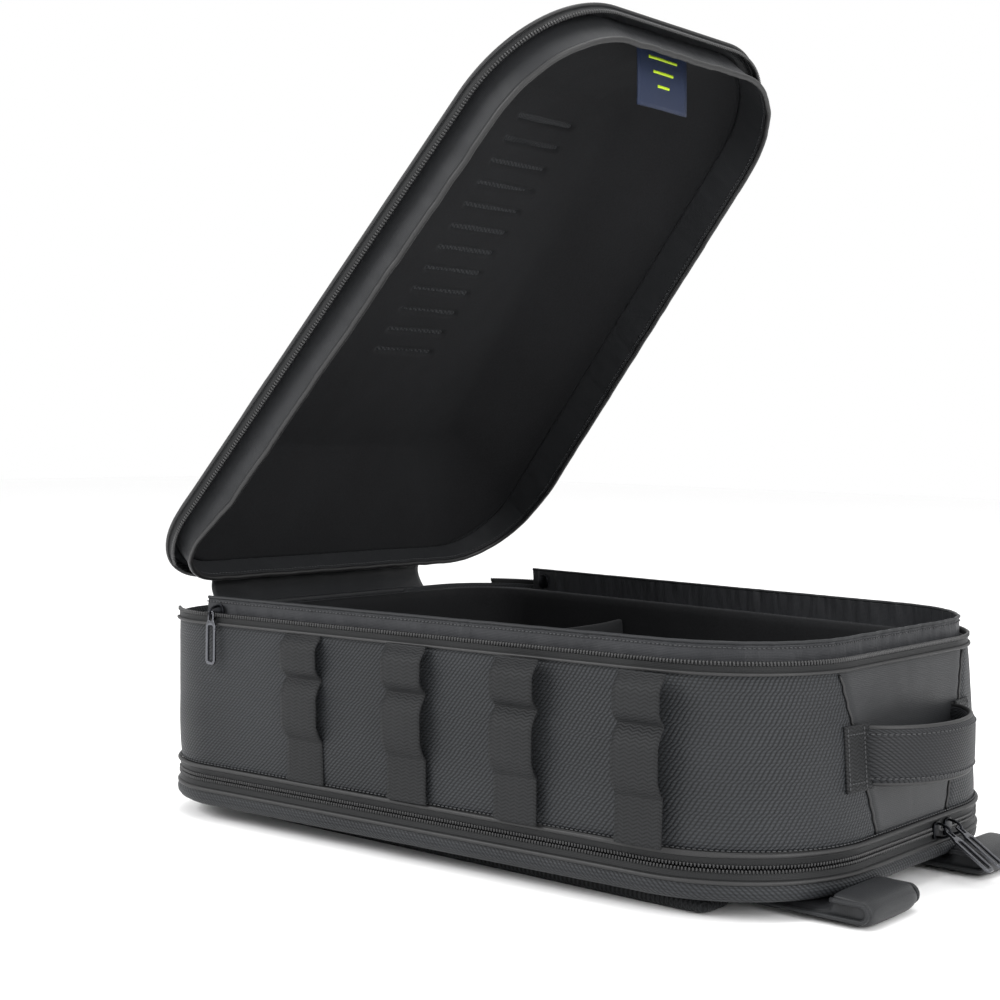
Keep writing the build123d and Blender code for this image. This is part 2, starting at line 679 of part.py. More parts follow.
with BuildPart() as lid_flange:
    flange_ring = ring(rim_outline, FLANGE_FOOT, RIM_ZIP_PLANE, FLANGE_INSET, FLANGE)
    add(opened(flange_ring & above_flange_foot))
keep(lid_flange, "lid_flange")

bead_inset = FLANGE_INSET + FLANGE / 2 - BEAD_WIDTH / 2
with BuildPart() as lid_rim_piping:
    bead_ring = ring(rim_outline, FLANGE_FOOT - BEAD_HEIGHT, RIM_ZIP_PLANE, bead_inset, BEAD_WIDTH)
    add(opened((bead_ring & above_bead_foot) - above_flange_foot))
keep(lid_rim_piping, "lid_rim_piping")

with BuildPart() as rim_zip_lid:
    tape = ring(rim_outline, RIM_ZIP_PLANE + ZIP_GAP / 2, LID_WALL_FOOT, TAPE_INSET, TAPE)
    add(opened(tape - hinge_end_cut))
keep(rim_zip_lid, "rim_zip_lid")

with BuildPart(mode=Mode.PRIVATE) as closed_strip:
    with BuildSketch(Plane.XZ):
        with BuildLine():
            Polyline(
                (-RIM_LENGTH / 2, LID_WALL_FOOT + STRIP * 2),
                (-RIM_LENGTH / 2, LID_WALL_FOOT),
                (HINGE_X, HINGE_Z - STRIP / 2),
                (HINGE_X, HINGE_Z + STRIP / 2),
                close=True,
            )
        make_face()
        with Locations((HINGE_X, HINGE_Z)):
            Circle(STRIP_BEAD + CLEAR, mode=Mode.SUBTRACT)
    extrude(amount=STRIP_WIDTH / 2, both=True)

with BuildPart() as hinge_strip_lid:
    add(opened(closed_strip.part))
keep(hinge_strip_lid, "hinge_strip_lid")

# ---- label: hangs from the lid's handle end ----
LABEL_INSET = FLANGE_INSET + FLANGE + LABEL_OFFSET
label_x, label_top = opened_point(RIM_LENGTH / 2 - LABEL_INSET, RIM_ZIP_PLANE + LABEL_DEPTH)
with BuildPart() as lid_label:
    with BuildSketch(Plane.YZ.offset(label_x - LABEL / 2)):
        with Locations((LABEL_Y, label_top - LABEL_LENGTH / 2)):
            RectangleRounded(LABEL_WIDTH, LABEL_LENGTH, LABEL_WIDTH / 20)
    extrude(amount=LABEL)
keep(lid_label, "lid_label")

# ---- zip sliders and their pulls ----


def slider_solid(place):
    """A slider: two plates joined by a web between the tapes, with a bail on the outer plate."""
    with BuildPart(mode=Mode.PRIVATE) as slider:
        with BuildSketch(place.offset(CLEAR)):
            RectangleRounded(SLIDER_LENGTH, SLIDER_WIDTH, SLIDER_LENGTH / 4)
        extrude(amount=PLATE)
        with BuildSketch(place.offset(-TAPE - CLEAR)):
            RectangleRounded(SLIDER_LENGTH, SLIDER_WIDTH, SLIDER_LENGTH / 4)
        extrude(amount=-INNER_PLATE)
        with BuildSketch(place.offset(-TAPE - CLEAR)):
            Rectangle(WEB_LENGTH, WEB)
        extrude(amount=TAPE + 2 * CLEAR)
        with BuildSketch(place.offset(CLEAR + PLATE)):
            Rectangle(BAIL_WIDTH, BAIL_SPAN)
            Rectangle(BAIL_WIDTH, BAIL_SPAN - 2 * BAIL_BAR, mode=Mode.SUBTRACT)
        extrude(amount=PIVOT_OUT + PULL_ROOM - CLEAR - PLATE)
        with BuildSketch(place.offset(PIVOT_OUT + PULL_ROOM)):
            Rectangle(BAIL_WIDTH, BAIL_SPAN)
        extrude(amount=BAIL_BAR)
    return slider.part


def pull_solid(place, tilt):
    """A long oblong loop that hangs from a pin through the bail."""
    pivot = place.origin + place.z_dir * PIVOT_OUT
    face = Plane(origin=pivot, x_dir=place.x_dir, z_dir=place.z_dir)
    with BuildPart(mode=Mode.PRIVATE) as pull:
        with BuildSketch(face.offset(-PULL_THICKNESS / 2)):
            with Locations((0, -PULL_LENGTH / 2 + PULL_PIN)):
                RectangleRounded(PULL_WIDTH, PULL_LENGTH, PULL_WIDTH / 2.2)
                RectangleRounded(
                    PULL_WIDTH - 2 * PULL_RAIL,
                    PULL_LENGTH - 2 * PULL_RAIL,
                    PULL_WIDTH / 2.2 - PULL_RAIL,
                    mode=Mode.SUBTRACT,
                )
        extrude(amount=PULL_THICKNESS)
        with BuildSketch(Plane(origin=pivot, x_dir=place.z_dir, z_dir=place.x_dir)):
            Circle(PULL_PIN)
        extrude(amount=PULL_WIDTH / 2 - PULL_RAIL, both=True)
    return pull.part.rotate(Axis(pivot, place.x_dir), -tilt)


def rim_slider_plane(side):
    """Zip frame of a rim slider: x along the zip to the handle end, y up, z outward."""
    outward = Vector(math.sin(SIDE_LEAN), side * math.cos(SIDE_LEAN), 0)
    along = Vector(0, 0, 1).cross(outward)
    y = side * (side_y(RIM_SLIDER_X, RIM_WALL_TOP) - TAPE_INSET / math.cos(SIDE_LEAN))
    return Plane(origin=(RIM_SLIDER_X, y, RIM_ZIP_PLANE), x_dir=along, z_dir=outward)


def lower_slider_plane(y):
    return Plane(origin=(FOOT_LENGTH / 2 - TAPE_INSET, y, LOWER_ZIP_PLANE), x_dir=(0, 1, 0), z_dir=(1, 0, 0))


slider_places = (
    ("rim", "near", rim_slider_plane(-1), 0.0),
    ("rim", "far", rim_slider_plane(1), 0.0),
    ("lower", "near", lower_slider_plane(LOWER_SLIDERS_Y[0]), LOWER_PULL_TILT),
    ("lower", "far", lower_slider_plane(LOWER_SLIDERS_Y[1]), LOWER_PULL_TILT),
)
for zip_name, side_name, place, tilt in slider_places:
    with BuildPart() as zip_slider:
        add(slider_solid(place))
    keep(zip_slider, f"{zip_name}_slider_{side_name}")
    with BuildPart() as zip_pull:
        add(pull_solid(place, tilt))
    keep(zip_pull, f"{zip_name}_pull_{side_name}")
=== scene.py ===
import math

import bpy
from mathutils import Matrix, Vector, noise


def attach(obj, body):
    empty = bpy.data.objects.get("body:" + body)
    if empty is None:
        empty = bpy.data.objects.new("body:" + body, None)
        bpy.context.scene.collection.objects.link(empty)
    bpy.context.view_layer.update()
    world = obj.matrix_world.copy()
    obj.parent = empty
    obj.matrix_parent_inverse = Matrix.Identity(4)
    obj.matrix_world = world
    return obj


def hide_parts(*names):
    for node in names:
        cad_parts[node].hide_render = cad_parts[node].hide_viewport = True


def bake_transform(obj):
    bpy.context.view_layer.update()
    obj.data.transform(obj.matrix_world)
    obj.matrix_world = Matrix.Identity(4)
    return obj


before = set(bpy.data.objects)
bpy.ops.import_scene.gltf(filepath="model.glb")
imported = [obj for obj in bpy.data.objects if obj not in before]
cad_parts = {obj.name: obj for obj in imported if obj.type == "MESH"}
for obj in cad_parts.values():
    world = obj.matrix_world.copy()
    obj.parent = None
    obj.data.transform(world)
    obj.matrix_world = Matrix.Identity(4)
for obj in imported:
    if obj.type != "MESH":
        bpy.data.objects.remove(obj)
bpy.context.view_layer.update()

# Drone carrying case: looks of the soft goods, zips and metal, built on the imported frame.
# Lengths are written in millimetres and turned to metres by MM where a mesh is made.
MM = 0.001

# ---- outlines of the case, as (length, hinge width, handle width, hinge radius, handle radius) ----
RIM = (490.0, 364.0, 318.0, 60.0, 88.0)
FOOT = (506.0, 350.0, 322.0, 62.0, 94.0)
FOOT_Z = 37.0
RIM_Z = 139.0
LOWER_ZIP = 30.5
SEAM_TOP_HALF = 80.0
SEAM_FOOT_HALF = 44.0
HINGE_X = -257.0
HINGE_Z = 155.0
LID_OPEN = math.radians(50.0)
SIDES = (("near", -1), ("far", 1))


# ================= materials =================
NYLON_IOR = 1.53
CLOTH_SPECULAR = 0.22
SHEEN_SHARE = 0.25


def linear(code):
    """A colour written as sRGB hex, turned to the linear values that Blender works in."""
    parts = [int(code[i : i + 2], 16) / 255 for i in (1, 3, 5)]
    return [c / 12.92 if c <= 0.04045 else ((c + 0.055) / 1.055) ** 2.4 for c in parts] + [1.0]


def put(tree, kind, inputs=None, **settings):
    """Add a node, set its properties, and set or link its inputs."""
    made = tree.nodes.new(kind)
    for key, value in settings.items():
        setattr(made, key, value)
    for key, value in (inputs or {}).items():
        if isinstance(value, bpy.types.NodeSocket):
            tree.links.new(value, made.inputs[key])
        else:
            made.inputs[key].default_value = value
    return made


def math_node(tree, operation, first, second=0.0):
    return put(tree, "ShaderNodeMath", {0: first, 1: second}, operation=operation).outputs[0]


def times(tree, first, second):
    return math_node(tree, "MULTIPLY", first, second)


def plus(tree, first, second):
    return math_node(tree, "ADD", first, second)


def new_material(name):
    material = bpy.data.materials.new(name)
    material.use_nodes = True
    tree = material.node_tree
    return material, tree, tree.nodes["Principled BSDF"]


def surface_units(tree):
    """The cloth's own coordinates in millimetres: along the weft and along the warp."""
    split = put(tree, "ShaderNodeSeparateXYZ", {0: put(tree, "ShaderNodeUVMap").outputs[0]})
    return times(tree, split.outputs[0], 1000.0), times(tree, split.outputs[1], 1000.0)


def wave(tree, coordinate, pitch):
    """A rounded thread profile from 0 to 1 that repeats every pitch millimetres."""
    turned = times(tree, coordinate, math.pi / pitch)
    return math_node(tree, "ABSOLUTE", math_node(tree, "SINE", turned))


def finish_cloth(tree, bsdf, height, dark, light, rough, bump, distance, cloud_size=90.0, sheen=0.2):
    """Colour, unevenness and bump shared by every woven cloth; the colour carries a painted highlight on the
    weave's crests and painted shade in its hollows.
    """
    where = put(tree, "ShaderNodeTexCoord").outputs["Object"]
    cloud = put(tree, "ShaderNodeTexNoise", {"Vector": where, "Scale": 1000.0 / cloud_size, "Detail": 3.0})
    lint = put(tree, "ShaderNodeTexNoise", {"Vector": where, "Scale": 900.0, "Detail": 2.0})
    # Colour follows the relief height: the crests of threads, ribs and knit get a painted highlight and the
    # hollows between them get painted shade; the cloud and lint noise add tone that differs at random.
    relief_light_and_tone = plus(tree, times(tree, height, 0.7), times(tree, cloud.outputs[0], 0.35))
    relief_light_and_tone = plus(tree, relief_light_and_tone, times(tree, lint.outputs[0], 0.2))
    ramp = put(tree, "ShaderNodeValToRGB", {0: relief_light_and_tone})
    ramp.color_ramp.elements[0].position = 0.25
    ramp.color_ramp.elements[0].color = linear(dark)
    ramp.color_ramp.elements[1].position = 1.0
    ramp.color_ramp.elements[1].color = linear(light)
    tree.links.new(ramp.outputs[0], bsdf.inputs["Base Color"])
    relief = put(tree, "ShaderNodeBump", {"Height": height, "Strength": bump, "Distance": distance * MM})
    tree.links.new(relief.outputs[0], bsdf.inputs["Normal"])
    spread = put(tree, "ShaderNodeMapRange", {0: relief_light_and_tone, 3: rough + 0.12, 4: rough - 0.08})
    tree.links.new(spread.outputs[0], bsdf.inputs["Roughness"])
    bsdf.inputs["IOR"].default_value = NYLON_IOR
    bsdf.inputs["Specular IOR Level"].default_value = CLOTH_SPECULAR
    bsdf.inputs["Sheen Weight"].default_value = sheen * SHEEN_SHARE
    bsdf.inputs["Sheen Roughness"].default_value = 0.4
    bsdf.inputs["Sheen Tint"].default_value = linear("#8a8c90")


def twill_cloth(name, thread, dark, light, rough=0.55, bump=0.8, lean=1.0, sheen=0.15):
    """Twill: floats that step one thread per row, so fine diagonal ribs catch the light."""
    material, tree, bsdf = new_material(name)
    u, v = surface_units(tree)
    diagonal = plus(tree, u, times(tree, v, lean))
    rib = wave(tree, diagonal, thread * 1.6)
    steps = wave(tree, v, thread)
    height = times(tree, rib, plus(tree, times(tree, steps, 0.6), 0.4))
    finish_cloth(tree, bsdf, height, dark, light, rough, bump, 0.5, sheen=sheen)
    return material


def plain_cloth(name, thread, dark, light, rough=0.6, bump=0.4, sheen=0.2):
    """Plain weave: threads that cross over and under one by one."""
    material, tree, bsdf = new_material(name)
    u, v = surface_units(tree)
    height = math_node(tree, "MAXIMUM", times(tree, wave(tree, u, thread), 0.9), wave(tree, v, thread))
    finish_cloth(tree, bsdf, height, dark, light, rough, bump, 0.3, sheen=sheen)
    return material


def ribbed_webbing(name, dark, light, rib=2.2, rough=0.62):
    """Woven webbing: raised ribs across its width, with the warp showing between them."""
    material, tree, bsdf = new_material(name)
    u, v = surface_units(tree)
    chevron = math_node(tree, "PINGPONG", u, 3.2)
    across = wave(tree, plus(tree, v, times(tree, chevron, 0.5)), rib)
    height = times(tree, across, plus(tree, times(tree, wave(tree, u, 1.1), 0.3), 0.7))
    finish_cloth(tree, bsdf, height, dark, light, rough, 0.7, 0.4, sheen=0.15)
    return material


def brushed_cloth(name, dark, light, rough=0.85, sheen=0.45):
    """Brushed tricot over foam: no thread shows, only a soft nap in drifts."""
    material, tree, bsdf = new_material(name)
    where = put(tree, "ShaderNodeTexCoord").outputs["Object"]
    drifts = {"Vector": where, "Scale": 700.0, "Detail": 4.0, "Roughness": 0.7}
    nap = put(tree, "ShaderNodeTexNoise", drifts)
    finish_cloth(tree, bsdf, nap.outputs[0], dark, light, rough, 0.35, 0.35, cloud_size=60.0, sheen=sheen)
    return material


def spacer_mesh(name, dark, light, cell=3.2):
    """Air mesh: rows of small open cells knitted over a padded core."""
    material, tree, bsdf = new_material(name)
    u, v = surface_units(tree)
    rising = wave(tree, plus(tree, u, v), cell)
    falling = wave(tree, math_node(tree, "SUBTRACT", u, v), cell)
    lattice = times(tree, rising, falling)
    height = math_node(tree, "SUBTRACT", 1.0, math_node(tree, "POWER", lattice, 0.5))
    finish_cloth(tree, bsdf, height, dark, light, 0.75, 1.0, 0.9, sheen=0.3)
    return material


def uneven_gloss(name, colour, scale, detail, low, high):
    """A material with one colour and a gloss that drifts between two roughnesses."""
    material, tree, bsdf = new_material(name)
    where = put(tree, "ShaderNodeTexCoord").outputs["Object"]
    grain = put(tree, "ShaderNodeTexNoise", {"Vector": where, "Scale": scale, "Detail": detail})
    spread = put(tree, "ShaderNodeMapRange", {0: grain.outputs[0], 3: low, 4: high})
    tree.links.new(spread.outputs[0], bsdf.inputs["Roughness"])
    bsdf.inputs["Base Color"].default_value = linear(colour)
    return material, tree, bsdf, grain


def moulded_nylon(name, colour, rough):
    """Extruded or moulded nylon: smooth, slightly waxy, with a faint uneven gloss."""
    material, tree, bsdf, grain = uneven_gloss(name, colour, 400.0, 2.0, rough - 0.08, rough + 0.1)
    bump = {"Height": grain.outputs[0], "Strength": 0.15, "Distance": 0.1 * MM}
    relief = put(tree, "ShaderNodeBump", bump)
    tree.links.new(relief.outputs[0], bsdf.inputs["Normal"])
    bsdf.inputs["IOR"].default_value = NYLON_IOR
    return material


def plated_zinc(name, colour, rough):
    """Die-cast zinc with gunmetal plating: dark mirror, with tumbling marks in the gloss."""
    material, _, bsdf, _ = uneven_gloss(name, colour, 250.0, 5.0, rough - 0.08, rough + 0.14)
    bsdf.inputs["Metallic"].default_value = 1.0
    return material


SIDE_TWILL = twill_cloth("ballistic_twill_nylon", 1.9, "#08090a", "#2f3134")
LID_TWILL = twill_cloth("lid_twill_nylon", 1.5, "#0b0c0d", "#222427", lean=-1.0)
PANEL_CLOTH = plain_cloth("plain_oxford_nylon", 1.1, "#111213", "#27282a", rough=0.5)
LIP_CLOTH = plain_cloth("gathered_taslan_nylon", 0.9, "#121314", "#2e2f32", rough=0.55, sheen=0.35)
FLANGE_CLOTH = plain_cloth("flange_nylon", 1.0, "#141516", "#28292b", rough=0.6, sheen=0.3)
LINING = brushed_cloth("brushed_tricot", "#08080a", "#161719")
WEBBING = ribbed_webbing("polyester_webbing", "#090a0a", "#1d1e20")
HANDLE_CLOTH = twill_cloth("handle_twill_webbing", 1.6, "#0b0c0d", "#28292c", bump=0.7)
TAPE_CLOTH = plain_cloth("zip_tape_polyester", 0.9, "#080809", "#18191a", rough=0.6)
MESH_CLOTH = spacer_mesh("spacer_mesh_polyester", "#08090a", "#232527")
COIL_NYLON = moulded_nylon("zip_coil_nylon", "#1a1a1b", 0.38)
PIPING_NYLON = moulded_nylon("covered_piping_cord", "#131314", 0.55)
THREAD = moulded_nylon("bonded_sewing_thread", "#2c2d2f", 0.5)
BUCKLE_ACETAL = moulded_nylon("moulded_acetal", "#141415", 0.42)
BOARD = moulded_nylon("stiffener_board_polyethylene", "#101011", 0.6)
GUNMETAL = plated_zinc("gunmetal_plated_zinc", "#5b5c60", 0.24)
DARK_GUNMETAL = plated_zinc("black_nickel_plated_zinc", "#232427", 0.3)


# ================= mesh helpers =================
def mesh_object(name, points, faces, material, uvs=None):
    """A mesh from points in millimetres; uvs holds one (u, v) in millimetres for each point."""
    mesh = bpy.data.meshes.new(name)
    mesh.from_pydata([Vector(p) * MM for p in points], [], faces)
    if uvs:
        layer = mesh.uv_layers.new(name="cloth")
        for loop in mesh.loops:
            layer.data[loop.index].uv = Vector(uvs[loop.vertex_index]) * MM
    mesh.materials.append(material)
    mesh.shade_smooth()
    mesh.validate()
    piece = bpy.data.objects.new(name, mesh)
    bpy.context.scene.collection.objects.link(piece)
    return piece


def settle(piece, *modifiers):
    """Apply modifiers, given as (kind, settings), so the mesh itself is the result."""
    for kind, settings in modifiers:
        added = piece.modifiers.new(kind.lower(), kind)
        for key, value in settings.items():
            setattr(added, key, value)
    graph = bpy.context.evaluated_depsgraph_get()
    final = bpy.data.meshes.new_from_object(piece.evaluated_get(graph))
    piece.modifiers.clear()
    piece.data = final
    return piece


def running(points):
    """Distance along a line of points, starting at 0."""
    total = [0.0]
    for a, b in zip(points, points[1:]):
        total.append(total[-1] + (Vector(b) - Vector(a)).length)
    return total


def cloth_grid(name, rows, material, thickness, closed=False, flip=False):
    """A sheet of cloth from rows of points, thickened inward, with the weave laid along it."""
    rows = [list(row) for row in rows]
    if closed:
        rows = [row + [row[0]] for row in rows]
    height, width = len(rows), len(rows[0])
    across = running(rows[height // 2])
    up = running([row[width // 2] for row in rows])
    points = [p for row in rows for p in row]
    uvs = [(across[j], up[i]) for i in range(height) for j in range(width)]
    faces = []
    for i in range(height - 1):
        for j in range(width - 1):
            face = (i * width + j, i * width + j + 1, (i + 1) * width + j + 1, (i + 1) * width + j)
            faces.append(face[::-1] if flip else face)
    piece = mesh_object(name, points, faces, material, uvs)
    steps = [("WELD", {"merge_threshold": 1e-5})] if closed else []
    settle(piece, *steps, ("SOLIDIFY", {"thickness": thickness * MM, "offset": -1.0}))
    piece.data.shade_smooth()
    return piece


def tube(name, points, radius, material, closed=False, sides=8):
    """A round cord along points in millimetres, as a closed mesh."""
    count = len(points)
    path = [Vector(p) for p in points]
    verts, faces = [], []
    normal = None
    for i, p in enumerate(path):
        before = path[i - 1] if (closed or i) else p
        after = path[(i + 1) % count] if (closed or i < count - 1) else p
        ahead = (after - before).normalized()
        if normal is None:
            normal = ahead.orthogonal().normalized()
        normal = (normal - ahead * normal.dot(ahead)).normalized()
        side = ahead.cross(normal)
        for k in range(sides):
            turn = 2 * math.pi * k / sides
            verts.append(p + (normal * math.cos(turn) + side * math.sin(turn)) * radius)
    rings = count if closed else count - 1
    for i in range(rings):
        for k in range(sides):
            a = i * sides + k
            b = i * sides + (k + 1) % sides
            c = ((i + 1) % count) * sides + (k + 1) % sides
            d = ((i + 1) % count) * sides + k
            faces.append((a, b, c, d))
    if not closed:
        faces.append(tuple(range(sides))[::-1])
        faces.append(tuple((count - 1) * sides + k for k in range(sides)))
    return mesh_object(name, verts, faces, material, [(v[0] + v[1], v[2]) for v in verts])


def resample(points, spacing, closed=False):
    """Points at even spacing along a line."""
    line = [Vector(p) for p in points]
    if closed:
        line.append(line[0])
    total = running(line)
    count = max(2, round(total[-1] / spacing))
    result = []
    index = 0
    for k in range(count + (0 if closed else 1)):
        target = total[-1] * k / count
        while index < len(total) - 2 and total[index + 1] < target:
            index += 1
        span = total[index + 1] - total[index]
        share = (target - total[index]) / span if span else 0.0
        result.append(line[index].lerp(line[index + 1], share))
    return result


def blocks(name, frames, size, material):
    """Many small six-sided lozenges, each placed by (centre, along, across, out)."""
    length, width, height = (value / 2 for value in size)
    verts, faces, uvs = [], [], []
    for centre, along, across, out in frames:
        start = len(verts)
        for a, w, h in ((-1, -0.6, 0.2), (-1, 0.6, 0.2), (1, 0.6, 0.2), (1, -0.6, 0.2)):
            verts.append(centre + along * length * a * 0.55 + across * width * w + out * height)
        for a, w in ((-1, -1), (-1, 1), (1, 1), (1, -1)):
            verts.append(centre + along * length * a + across * width * w)
        for a, w in ((-1, -1), (-1, 1), (1, 1), (1, -1)):
            verts.append(centre + along * length * a * 0.6 + across * width * w * 0.8 - out * height)
        faces.append((start + 3, start + 2, start + 1, start))
        for k in range(4):
            n = (k + 1) % 4
            faces.append((start + k, start + n, start + 4 + n, start + 4 + k))
            faces.append((start + 4 + k, start + 4 + n, start + 8 + n, start + 8 + k))
        faces.append((start + 8, start + 9, start + 10, start + 11))
        uvs += [(0.0, 0.0)] * 12
    return mesh_object(name, verts, faces, material, uvs)


def frames_along(points, out_of, spacing, closed=False):
    """Places for stitches or teeth: even steps along a line, with the outward direction there."""
    line = resample(points, spacing, closed)
    frames = []
    for i, p in enumerate(line):
        before = line[i - 1] if (closed or i) else p
        after = line[(i + 1) % len(line)] if (closed or i < len(line) - 1) else p
        ahead = (after - before).normalized()
        out = out_of(p)
        out = (out - ahead * out.dot(ahead)).normalized()
        frames.append((p, ahead, out.cross(ahead), out))
    return frames


def stitches(name, points, out_of, closed=False, pitch=3.4):
    """A row of sewing: short thread floats that sink at both ends."""
    frames = frames_along(points, out_of, pitch, closed)
    return blocks(name, frames, (pitch * 0.72, 0.75, 0.7), THREAD)


# ================= outlines =================
def corner_arcs(level):
    """(centre, radius, first angle, last angle) of the near half's corners, handle end first."""
    length, hinge_width, handle_width, hinge_radius, handle_radius = level
    half = length / 2
    lean = math.atan2((hinge_width - handle_width) / 2, length)
    arcs = []
    for radius, corner_x, width, start, end in (
        (handle_radius, half, handle_width, 0.0, lean - math.pi / 2),
        (hinge_radius, -half, hinge_width, lean - math.pi / 2, -math.pi),
    ):
        # the centre is one radius inside both of the corner's sides
        x = corner_x - math.copysign(radius, corner_x)
        y = -width / 2 - (x - corner_x) * math.tan(lean) + radius / math.cos(lean)
        arcs.append((Vector((x, y)), radius, start, end))
    return arcs


def half_outline(level, inset, spacing):
    """Points and outward directions of the near half of a level, from handle end to hinge end."""
    half = level[0] / 2
    stops = []
    for centre, radius, start, end in corner_arcs(level):
        steps = max(6, round(radius * abs(end - start) / spacing))
        for k in range(steps + 1):
            turn = start + (end - start) * k / steps
            normal = Vector((math.cos(turn), math.sin(turn)))
            stops.append((centre + normal * radius, normal))
    line = [(Vector((half, 0.0)), Vector((1.0, 0.0)))] + stops
    line.append((Vector((-half, 0.0)), Vector((-1.0, 0.0))))
    dense = []
    for (p, n), (q, m) in zip(line, line[1:]):
        count = max(1, round((q - p).length / spacing))
        for k in range(count):
            facing = n.lerp(m, k / count).normalized()
            dense.append((p.lerp(q, k / count) - facing * inset, facing))
    dense.append((line[-1][0] - line[-1][1] * inset, line[-1][1]))
    return dense


def full_outline(level, inset, spacing):
    """The whole outline as a closed line of (point, outward direction)."""
    near = half_outline(level, inset, spacing)
    far = [(Vector((p.x, -p.y)), Vector((n.x, -n.y))) for p, n in near[1:-1]]
    return near + far[::-1]


def level_at(z):
    """The leaning wall's outline at a height."""
    share = (z - FOOT_Z) / (RIM_Z - FOOT_Z)
    return tuple(low + (high - low) * share for low, high in zip(FOOT, RIM))


def loop_at(level, z, inset, spacing):
    return [Vector((p.x, p.y, z)) for p, _ in full_outline(level, inset, spacing)]


def mirrored(rows):
    return [[Vector((p.x, -p.y, p.z)) for p in row] for row in rows]


def open_lid(piece):
    """Turn a piece that was built on the closed lid to the lid's rest pose."""
    pivot = Vector((HINGE_X, 0.0, HINGE_Z)) * MM
    turn = Matrix.Translation(pivot) @ Matrix.Rotation(-LID_OPEN, 4, "Y") @ Matrix.Translation(-pivot)
    piece.data.transform(turn)
    return piece


def place(piece, body, slot, *nodes):
    """Ride a body and stand for CAD nodes; the slot argument is not used."""
    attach(piece, body)
    if nodes:
        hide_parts(*nodes)
    return piece


def dress(node, material):
    """Give a CAD node, whose shape is right, its real finish."""
    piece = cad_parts[node]
    piece.data.materials.clear()
    piece.data.materials.append(material)
    return piece


def ripple(point, size, amount, seed=0.0):
    """Smooth unevenness of cloth, in millimetres."""
    return noise.noise(Vector(point) / size + Vector((seed, seed * 1.7, -seed))) * amount


# ================= side walls =================
def seam_half(z):
    share = (z - FOOT_Z) / (RIM_Z - FOOT_Z)
    return SEAM_FOOT_HALF + (SEAM_TOP_HALF - SEAM_FOOT_HALF) * share


def split_at_seams(z):
    """The near half outline cut at its two corner seams: handle panel, side panel, hinge panel."""
    dense = half_outline(level_at(z), 0.0, 1.5)
    line = [Vector((p.x, p.y, z)) for p, _ in dense]
    total = running(line)
    limit = seam_half(z)
    first = next(i for i, p in enumerate(line) if -p.y > limit)
    last = len(line) - 1 - next(i for i, p in enumerate(line[::-1]) if -p.y > limit)
    return line, total, total[first], total[last]


def point_on(line, total, distance):
    distance = min(max(distance, 0.0), total[-1])
    low, high = 0, len(total) - 1
    while high - low > 1:
        middle = (low + high) // 2
        if total[middle] <= distance:
            low = middle
        else:
            high = middle
    span = total[high] - total[low]
    return line[low].lerp(line[high], (distance - total[low]) / span if span else 0.0)


WALL_ROWS = 34


def wall_rows(part, columns):
    """Rows of the near half of a wall panel, with the cloth's bulge, pull and creases."""
    rows = []
    for i in range(WALL_ROWS + 1):
        z = FOOT_Z + (RIM_Z + 3.0 - FOOT_Z) * i / WALL_ROWS
        line, total, first, last = split_at_seams(min(z, RIM_Z))
        start, end = {"handle": (0.0, first), "side": (first, last), "hinge": (last, total[-1])}[part]
        share_up = i / WALL_ROWS
        row = []
        for j in range(columns + 1):
            share = j / columns
            p = point_on(line, total, start + (end - start) * share).copy()
            p.z = z
            out = outward(p)
            edge = min(share_up, 1 - share_up)
            puff = 1.0 * math.sin(math.pi * min(1.0, max(0.0, share_up))) ** 0.6
            near_seam = {"side": min(share, 1 - share), "handle": 1 - share, "hinge": share}[part]
            tuck = -1.3 * math.exp(-((near_seam * (end - start)) / 3.0) ** 2)
            crease = ripple((p.x, p.y, p.z * 2.2), 60.0, 0.8, 3.0) + ripple((p.x, p.y, p.z), 22.0, 0.3, 9.0)
            hem = -0.8 * math.exp(-(edge * 100.0 / 3.0) ** 2)
            row.append(p + out * (puff + tuck + crease * min(1.0, edge * 8) + hem - 1.0))
        rows.append(row)
    return rows


PLAN = full_outline(RIM, 0.0, 6.0)


def outward(point):
    best = min(PLAN, key=lambda item: (item[0].x - point.x) ** 2 + (item[0].y - point.y) ** 2)
    return Vector((best[1].x, best[1].y, 0.0))


side_rows = wall_rows("side", 190)
for side_name, side in SIDES:
    rows = side_rows if side < 0 else mirrored(side_rows)
    panel = cloth_grid(f"{side_name}_side_wall", rows, SIDE_TWILL, 1.4, flip=side < 0)
    place(panel, "case", "twill_nylon", f"{side_name}_side_panel")
for end_name, body_node in (("handle", "handle_end_panel"), ("hinge", "hinge_end_panel")):
    near_rows = wall_rows(end_name, 34)
    far_rows = mirrored(near_rows)
    if end_name == "handle":
        rows = [far[::-1][:-1] + near for near, far in zip(near_rows, far_rows)]
    else:
        rows = [near + far[::-1][1:] for near, far in zip(near_rows, far_rows)]
    panel = cloth_grid(f"{end_name}_end_wall", rows, PANEL_CLOTH, 1.4, flip=True)
    place(panel, "case", "smooth_nylon", body_node)
    for side_name, side in SIDES:
        edge = [row[-1 if end_name == "handle" else 0] for row in near_rows]
        edge = [Vector((p.x, p.y * -side, p.z)) for p in edge]
        seam_line = [p + outward(p) * 0.7 for p in edge]
        welt = tube(f"corner_seam_{end_name}_{side_name}", seam_line[1:-2], 0.9, PIPING_NYLON)
        place(welt, "case", "piping")

# ================= bands of cloth that follow an outline =================
def from_hinge(loop):
    """Start a closed outline at the middle of the hinge end instead of the handle end."""
    start = min(range(len(loop)), key=lambda k: (loop[k][0].x > 0, abs(loop[k][0].y)))
    return loop[start:] + loop[:start]


